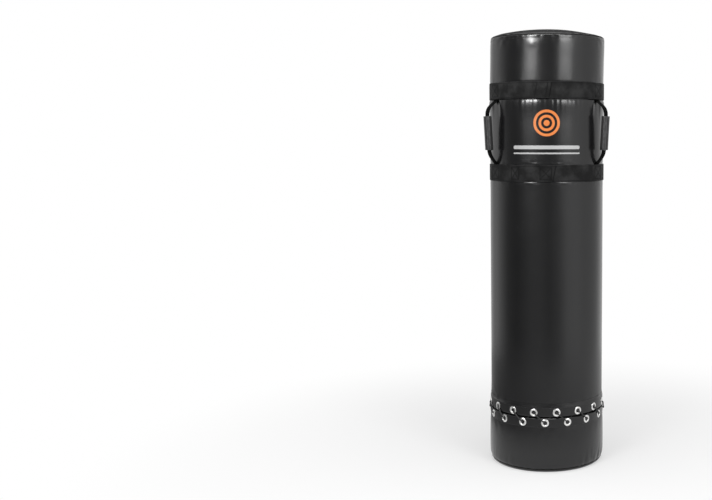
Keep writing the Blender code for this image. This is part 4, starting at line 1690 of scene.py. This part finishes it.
    def build_hem_stitches(self) -> None:
        """Sew both hems."""
        cover_row = (0.18128, self.layout.cover_edge + self.stitch_inset)
        cap_row = (0.18152, self.layout.cap_edge - self.stitch_inset)
        for label, (radius, height) in (("cover", cover_row), ("cap", cap_row)):
            row = [on_dummy(azimuth, radius, height) for azimuth in np.arange(0.0, 360.0, 1.5)]
            self.sewing.sew(f"{label}_hem_stitches", [row], [True])


@dataclass(frozen=True)
class Handle:
    """A strap handle: two legs of webbing from under the bands, and a ribbed grip on them."""

    side: Side
    layout: Layout
    palette: Palette
    strap_width: float = INCH
    strap_thickness: float = 0.0020
    flat_standoff: float = 0.0013
    tuck: float = 0.0380
    grip_top: Point = (0.0312, 1.1010)
    grip_bottom: Point = (0.0254, 0.9973)
    grip_width: float = 0.0350
    grip_thickness: float = 0.0125
    grip_wall: float = 0.0015
    grip_corner: float = 0.0030
    grip_bend: float = 0.0011
    grip_slack: float = 0.0003
    lobe_pitch: float = 0.0146
    lobe_height: float = 0.0015
    inside_grip: float = 0.0120
    blend_standoff: float = 0.0035
    strap_angle: float = 60.0
    grip_angle: float = 55.0

    @property
    def azimuth(self) -> float:
        """The handle's azimuth."""
        return self.layout.handles[self.side]

    @property
    def body(self) -> str:
        """The body that the grip rides on."""
        return f"{self.side.value}_handle"

    def direction(self) -> Vector:
        """Unit (standoff, height) vector up the grip."""
        return (Vector(self.grip_top) - Vector(self.grip_bottom)).normalized()

    def place(self, standoff: float, sideways_by: float, height: float) -> Vector:
        """The point of the dummy's frame at a standoff, a distance sideways and a height."""
        out = outward(self.azimuth) * (COVER_RADIUS + standoff)
        return out + sideways(self.azimuth) * sideways_by + Vector((0.0, 0.0, height))

    def leg_line(self, upper: bool) -> list[Vector]:
        """A leg's (standoff, height) centreline, from under its band to inside the grip."""
        at, up = self.layout, 1.0 if upper else -1.0
        edge = at.upper_band[0] if upper else at.lower_band[1]
        drop, pull = (0.0119, 0.0335) if upper else (0.0040, 0.0215)
        lean = self.direction() * up
        start = Vector((self.flat_standoff, edge - 0.0005 * up))
        end = Vector(self.grip_top if upper else self.grip_bottom) + lean * 0.002
        a, b, c, d = start, start - Vector((0.0, drop * up)), end + lean * pull, end
        curve = []
        for step in range(29):
            t = step / 28
            u = 1.0 - t
            curve.append(a * u**3 + b * (3 * u * u * t) + c * (3 * u * t * t) + d * t**3)
        tuck, inside = Vector((0.0, self.tuck * up)), end - lean * self.inside_grip
        under = [start + tuck * (1 - step / 6) for step in range(6)]
        return under + curve + [(end + inside) / 2, inside]

    def strap_section(self) -> list[Point]:
        """The webbing's section: (through its thickness, across its width), with rounded edges."""
        through, across = self.strap_thickness / 2, self.strap_width / 2
        edge = self.strap_thickness * 0.35
        half = [(through, -across + edge), (through, 0.0), (through, across - edge)]
        half += [(through * 0.72, across - edge * 0.3), (0.0, across)]
        return half + [(-x, -y) for x, y in half]

    def swept_strap(self, name: str, line: Sequence[Vector]) -> Object:
        """Sweep the strap's section along a (standoff, height) line."""
        section = self.strap_section()
        rows = []
        for index, point in enumerate(line):
            ahead = line[min(index + 1, len(line) - 1)] - line[max(index - 1, 0)]
            normal = Vector((ahead.y, -ahead.x)).normalized()
            points = [(point + normal * through, across) for through, across in section]
            rows.append([self.place(point.x, across, point.y) for point, across in points])
        across = np.array([y for _, y in section])
        piece = lofted(name, np.array(rows), caps=True, across=across)
        return finished(piece, self.palette.strap, angle=self.strap_angle)

    def build_legs(self) -> None:
        """Make the two legs, which bend between the dummy and the grip."""
        for upper in (True, False):
            level = "upper" if upper else "lower"
            line = self.leg_line(upper)
            leg = self.swept_strap(f"{self.side.value}_{level}_leg", line)
            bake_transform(leg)
            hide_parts(f"{self.side.value}_{level}_strap_end")
            report(leg, f"dummy and {self.body}")

    def build_grip_strap(self) -> None:
        """Make the stretch of strap inside the grip."""
        lean = self.direction()
        top = Vector(self.grip_top) - lean * (self.inside_grip - 0.0020)
        bottom = Vector(self.grip_bottom) + lean * (self.inside_grip - 0.0020)
        line = [top + (bottom - top) * step / 6 for step in range(7)]
        strap = self.swept_strap(f"{self.side.value}_grip_strap", line)
        settle(strap, self.body, [f"{self.side.value}_handle_loop"])

    def grip_section(self, thickness: float, width: float, corner: float, lobes: bool) -> list[Point]:
        """A rounded section (outwards, sideways), whose outer face may have rounded lobes along it."""
        points, steps = [], 5
        for quarter in (1, 2, 3, 4):
            out = 1 if quarter in (1, 4) else -1
            across = 1 if quarter in (1, 2) else -1
            centre = (out * (thickness / 2 - corner), across * (width / 2 - corner))
            for step in range(steps + 1):
                turn = math.radians(90.0 * (quarter - 1) + 90.0 * step / steps)
                points.append((centre[0] + corner * math.cos(turn), centre[1] + corner * math.sin(turn)))
        for across in np.linspace(-width / 2 + corner * 1.05, width / 2 - corner * 1.05, 27):
            place = (across / self.lobe_pitch) % 1.0
            shape = self.lobe_height * (1.0 - abs(2.0 * place - 1.0) ** 3.5) if lobes else 0.0
            points.append((thickness / 2 + shape, float(across)))
        return points

    def grip_rows(self, section: Sequence[Point], stations: Sequence[Point]) -> np.ndarray:
        """Sections along the grip. A station is a place from 0 to 1 down it and an inset of the section."""
        lean = self.direction()
        top, bottom = Vector(self.grip_top), Vector(self.grip_bottom)
        normal = Vector((lean.y, -lean.x))
        reach_out = max(abs(out) for out, _ in section)
        reach_side = max(abs(across) for _, across in section)
        rows = []
        for share, inset in stations:
            middle = top + (bottom - top) * share
            row = []
            for out, across in section:
                point = middle + normal * (out * (1.0 - inset / reach_out))
                row.append(self.place(point.x, across * (1.0 - inset / reach_side), point.y))
            rows.append(row)
        return np.array(rows)

    def build_grip(self) -> None:
        """Make the grip's sleeve, open at both ends, and the foam core in it."""
        wall, slack, bend = self.grip_wall, self.grip_slack, self.grip_bend
        length = (Vector(self.grip_top) - Vector(self.grip_bottom)).length
        corner = self.grip_corner - wall
        bore = (self.grip_thickness - 2 * wall, self.grip_width - 2 * wall)
        outer = self.grip_section(self.grip_thickness, self.grip_width, self.grip_corner, True)
        inner = self.grip_section(*bore, corner, False)
        rounded = [(0.0, bend * 0.55), (bend * 0.4 / length, bend * 0.16), (bend / length, 0.0)]
        middle = [(share / 12, 0.0) for share in range(1, 12)]
        stations = rounded + middle + [(1.0 - share, inset) for share, inset in rounded[::-1]]
        back = [(1.0, -0.0002), (0.98, 0.0), (0.5, 0.0), (0.02, 0.0), (0.0, -0.0002)]
        rows = np.vstack([self.grip_rows(outer, stations), self.grip_rows(inner, back)])
        across = [abs(side) + 2 * max(self.grip_thickness / 2 - out, 0.0) for out, side in outer]
        name = f"{self.side.value}_grip"
        sleeve = lofted(f"{name}_cover", rows, close_rows=True, across=np.array(across))
        finished(sleeve, self.palette.rubber, angle=self.grip_angle)
        settle(sleeve, self.body, [f"{name}_sleeve"])
        strap = (self.strap_thickness, self.strap_width)
        pad = self.grip_section(*(size - 2 * slack for size in bore), corner, False)
        slot = self.grip_section(*(size + 2 * slack for size in strap), 0.0012, False)
        over = [(0.022, 0.0006), (0.030, 0.0), (0.5, 0.0), (0.970, 0.0), (0.978, 0.0006)]
        through = [(0.978, 0.0), (0.5, 0.0), (0.022, 0.0)]
        rows = np.vstack([self.grip_rows(pad, over), self.grip_rows(slot, through)])
        core = lofted(f"{name}_pad", rows, close_rows=True)
        finished(core, self.palette.foam, angle=self.grip_angle)
        settle(core, self.body, [f"{name}_core"])


@dataclass(frozen=True)
class Filling:
    """The foam inside: a column, squeezed behind the lacing, on a firmer disc in the cap."""

    palette: Palette
    full: float = 0.1764
    groove: float = 0.1692
    dimple: float = 0.0004

    def build(self) -> None:
        """Make both pieces of foam."""
        azimuths = np.arange(96) * 3.75
        column_low, column_high = (corner.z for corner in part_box("foam_column"))
        disc_low, disc_high = (corner.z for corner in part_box("foam_base_disc"))
        full, groove = self.full, self.groove
        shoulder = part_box("body_cover")[1].z
        column = [(0.0, column_high), (0.0550, column_high - 0.0030), (0.1100, shoulder + 0.0160)]
        column += [(0.1560, shoulder + 0.0050), (0.1720, shoulder - 0.0060), (full, shoulder - 0.0200)]
        column += [(full, 0.7000), (full, 0.2260), (groove, 0.2080), (groove, column_low + 0.0030)]
        column += [(groove - 0.0030, column_low), (0.0, column_low)]
        disc = [(0.0, disc_high), (0.1720, disc_high), (0.1745, disc_high - 0.0020), (0.1790, 0.1100)]
        disc += [(0.1802, 0.0600), (0.1784, 0.0260), (0.1720, 0.0060), (0.1680, disc_low), (0.0, disc_low)]
        dimples = Ripple(61, 5, 20).at(azimuths)[None, :] * self.dimple
        parts = (("foam_filling", "foam_column", column), ("foam_foot", "foam_base_disc", disc))
        for name, node, line in parts:
            off_axis = np.array(line)[:, :1] > 0.0
            piece = lofted(name, lathe_rows(line, azimuths, dimples * off_axis))
            settle(finished(piece, self.palette.foam), "dummy", [node])


@dataclass(frozen=True)
class Softbox:
    """A rectangular studio light that looks at the dummy."""

    name: str
    azimuth: float
    distance: float
    height: float
    width: float
    tall: float
    radiance: float
    looks_at: float = 0.75

    def build(self) -> None:
        """Make the light."""
        light = bpy.data.lights.new(self.name, "AREA")
        light.shape = "RECTANGLE"
        light.size, light.size_y = self.width, self.tall
        light.energy = self.radiance * math.pi * self.width * self.tall
        obj = add_object(self.name, light)
        obj.location = on_dummy(self.azimuth, self.distance, self.height)
        aim = Vector((0.0, 0.0, self.looks_at)) - obj.location
        obj.rotation_euler = aim.to_track_quat("-Z", "Y").to_euler()
        obj.visible_camera = False


ROOM_TONES = (
    (-168.0, 0.75), (-150.0, 0.70), (-135.0, 0.62), (-118.0, 0.90), (-98.0, 0.62),
    (-84.0, 0.25), (-62.0, 0.12), (-46.0, 0.23), (-32.0, 0.36), (-12.0, 0.38),
    (6.0, 0.20), (24.0, 0.40), (42.0, 1.05), (62.0, 1.10), (80.0, 0.85),
    (100.0, 0.72), (118.0, 0.68), (132.0, 0.85), (150.0, 0.95), (168.0, 0.70),
)
LEFT_SHINE = ((-46.0, 0.3), (-31.0, 36.0), (-17.0, 0.4))
RIGHT_SHINE = ((18.0, 0.35), (33.0, 3.5), (62.0, 1.1))


@dataclass(frozen=True)
class Card:
    """A grey card bent round the dummy's axis, seen by reflections alone, with a tone for each azimuth."""

    name: str
    low: float
    high: float
    stops: tuple[Point, ...]
    radius: float = 4.0
    brightest: float = 1.1

    def material(self) -> Material:
        """Make the card's glow from its stops, each an azimuth and a tone."""
        first, run = self.stops[0][0], self.stops[-1][0] - self.stops[0][0]
        material = bpy.data.materials.new(self.name)
        material.use_nodes = True
        tree = material.node_tree
        tree.nodes.clear()
        shader = Shader(tree)
        x, y, _ = shader.split(shader.object_coords())
        place = shader.maths("ARCTAN2", x, 0 - y) * (180.0 / math.pi)
        stops = [((azimuth - first) / run, tone / self.brightest) for azimuth, tone in self.stops]
        tone = shader.node("ShaderNodeValToRGB", {"stops": stops}, {0: (place - first) / run})
        glow = tree.nodes.new("ShaderNodeEmission")
        shader.feed(glow.inputs["Color"], tone)
        glow.inputs["Strength"].default_value = self.brightest
        out = tree.nodes.new("ShaderNodeOutputMaterial")
        tree.links.new(glow.outputs[0], out.inputs["Surface"])
        return material

    def build(self) -> None:
        """Make the card."""
        azimuths = np.linspace(self.stops[0][0], self.stops[-1][0], 65)
        edges = (self.low, self.high)
        rows = [[on_dummy(azimuth, self.radius, height) for azimuth in azimuths] for height in edges]
        card = lofted(self.name, np.array(rows), close_columns=False)
        card.data.materials.append(self.material())
        for what in ("camera", "diffuse", "transmission", "volume_scatter", "shadow"):
            setattr(card, f"visible_{what}", False)


@dataclass(frozen=True)
class FloorFinish(Finish):
    """A pale floor that keeps the dummy's shadow and fades into the white surroundings."""

    name: str = "pale_floor"
    radius: float = 1.70
    fade_start: float = 0.55
    grey: float = 0.90
    glow: float = 0.46
    shine: Point = (0.30, 0.75)
    far_shine: float = 0.23
    even_shine: float = 1.8

    def values(self, shader: Shader) -> Mapping[str, Any]:
        """The sockets' numbers and wires."""
        x, y, _ = shader.split(shader.object_coords())
        away = shader.maths("SQRT", x * x + y * y)
        fade = shader.smooth(away, self.fade_start, self.radius * 0.9)
        shown, glossy = shader.rays()
        shine = self.far_shine * (x / away + self.even_shine)
        kept = 1 - glossy * shader.smooth(away, *self.shine) * (1 - shine)
        glow = (self.glow + fade * (1.0 - self.glow)) * kept
        grey = self.grey * (1 - glow) * kept
        light = glow * shown
        return {
            "Base Color": shader.node("ShaderNodeCombineColor", inputs=dict.fromkeys(range(3), grey)),
            "Roughness": 0.9,
            "Specular IOR Level": 0.0,
            "Emission Color": shader.node("ShaderNodeCombineColor", inputs=dict.fromkeys(range(3), light)),
            "Emission Strength": 1.0,
        }


@dataclass(frozen=True)
class Studio:
    """White surroundings, a pale floor, soft lights, cards that shape the vinyl's shine, and the camera."""

    focal_pixels: float = 996.4
    sensor: float = 36.0
    distance: float = 3.1864
    eye_height: float = 1.0345
    pitch: float = 5.51
    axis_column: float = 546.6
    optical_row: float = 234.0
    floor: FloorFinish = FloorFinish()
    fill: float = 0.42
    cards: tuple[Card, ...] = (
        Card("room_card", -3.0, 5.0, ROOM_TONES),
        Card("back_card", 1.95, 5.0, ((158.0, 0.10), (202.0, 0.10)), radius=3.9),
        Card("left_shine_card", 1.94, 3.10, LEFT_SHINE, radius=3.3, brightest=36.0),
        Card("right_shine_card", 1.60, 2.95, RIGHT_SHINE, radius=3.3, brightest=3.5),
    )
    softboxes: tuple[Softbox, ...] = (
        Softbox("left_softbox", -31.0, 3.0, 2.24, 0.95, 1.16, 6.2),
        Softbox("left_low_softbox", -33.0, 3.0, 1.40, 1.35, 0.46, 3.0),
        Softbox("right_softbox", 35.0, 3.0, 2.20, 1.00, 1.20, 6.0),
        Softbox("right_low_softbox", 36.0, 3.0, 1.38, 1.35, 0.42, 2.6),
        Softbox("overhead_softbox", 0.0, 0.4, 3.3, 1.8, 1.4, 6.2),
    )

    def build_camera(self) -> None:
        """Make the camera at the photograph's viewing angle."""
        camera = bpy.data.cameras.new("camera")
        camera.sensor_width = self.sensor
        camera.lens = self.focal_pixels * self.sensor / PHOTO_WIDTH
        camera.shift_x = -(self.axis_column - PHOTO_WIDTH / 2) / PHOTO_WIDTH
        camera.shift_y = -(PHOTO_HEIGHT / 2 - self.optical_row) / PHOTO_WIDTH
        obj = add_object("camera", camera)
        obj.location = (0.0, -self.distance, self.eye_height)
        obj.rotation_euler = (math.radians(90.0 - self.pitch), 0.0, 0.0)
        bpy.context.scene.camera = obj

    def build_world(self) -> None:
        """Make surroundings that are white to the camera and in reflections, and a soft fill elsewhere."""
        world = bpy.data.worlds.new("white_surroundings")
        world.use_nodes = True
        graph = Graph(world.node_tree)
        shown, _ = graph.rays()
        background = world.node_tree.nodes["Background"]
        background.inputs["Color"].default_value = (1.0, 1.0, 1.0, 1.0)
        graph.feed(background.inputs["Strength"], self.fill + shown * (1.0 - self.fill))
        bpy.context.scene.world = world

    def build_floor(self) -> None:
        """Make the pale floor, which fades into the white surroundings."""
        turns = np.arange(96) * math.tau / 96
        radii = [0.001, 0.2, 0.5, 0.9, 1.3, self.floor.radius]
        rows = np.array([[(r * math.sin(t), -r * math.cos(t), 0.0) for t in turns] for r in radii])
        floor = lofted("studio_floor", rows)
        floor.data.materials.append(self.floor.material())

    def build(self) -> None:
        """Set up the whole studio."""
        bpy.context.scene.view_settings.view_transform = "Standard"
        self.build_camera()
        self.build_world()
        self.build_floor()
        for light in (*self.cards, *self.softboxes):
            light.build()


def main() -> None:
    """Build the dummy's pieces in order, and the studio round them."""
    logging.basicConfig(level=logging.INFO, format="%(message)s")
    layout = Layout.read()
    palette = Palette()
    Studio().build()
    sewing = Sewing(StitchTree(), palette.thread)
    shared = (layout, palette, Sewing(sewing.tree, palette.dull_thread))
    cover = Cover(layout, palette, sewing)
    cover.build_sleeve()
    cover.build_top()
    cap = BaseCap(layout, palette)
    cap.build_side()
    cap.build_base()
    lap_seams = (0.010, 0.042)
    upper_boxes = ((-60.0, 0.040), (60.0, 0.040))
    lower_boxes = ((-0.8, 0.034), (-32.0, 0.026), (-60.0, 0.040), (60.0, 0.040))
    bands = [
        Band("upper_band", *shared, layout.upper_band, -11.3, 14.5, upper_boxes, lap_seams),
        Band("lower_band", *shared, layout.lower_band, -7.0, 14.0, lower_boxes),
    ]
    for band in bands:
        band.build()
        band.build_stitches()
    closure = Closure(layout, palette, sewing)
    closure.build_grommets()
    closure.build_lace()
    closure.build_tongue()
    closure.build_hem_stitches()
    for side in Side:
        handle = Handle(side, layout, palette)
        handle.build_legs()
        handle.build_grip_strap()
        handle.build_grip()
    Filling(palette).build()


if __name__ == "__main__":
    main()
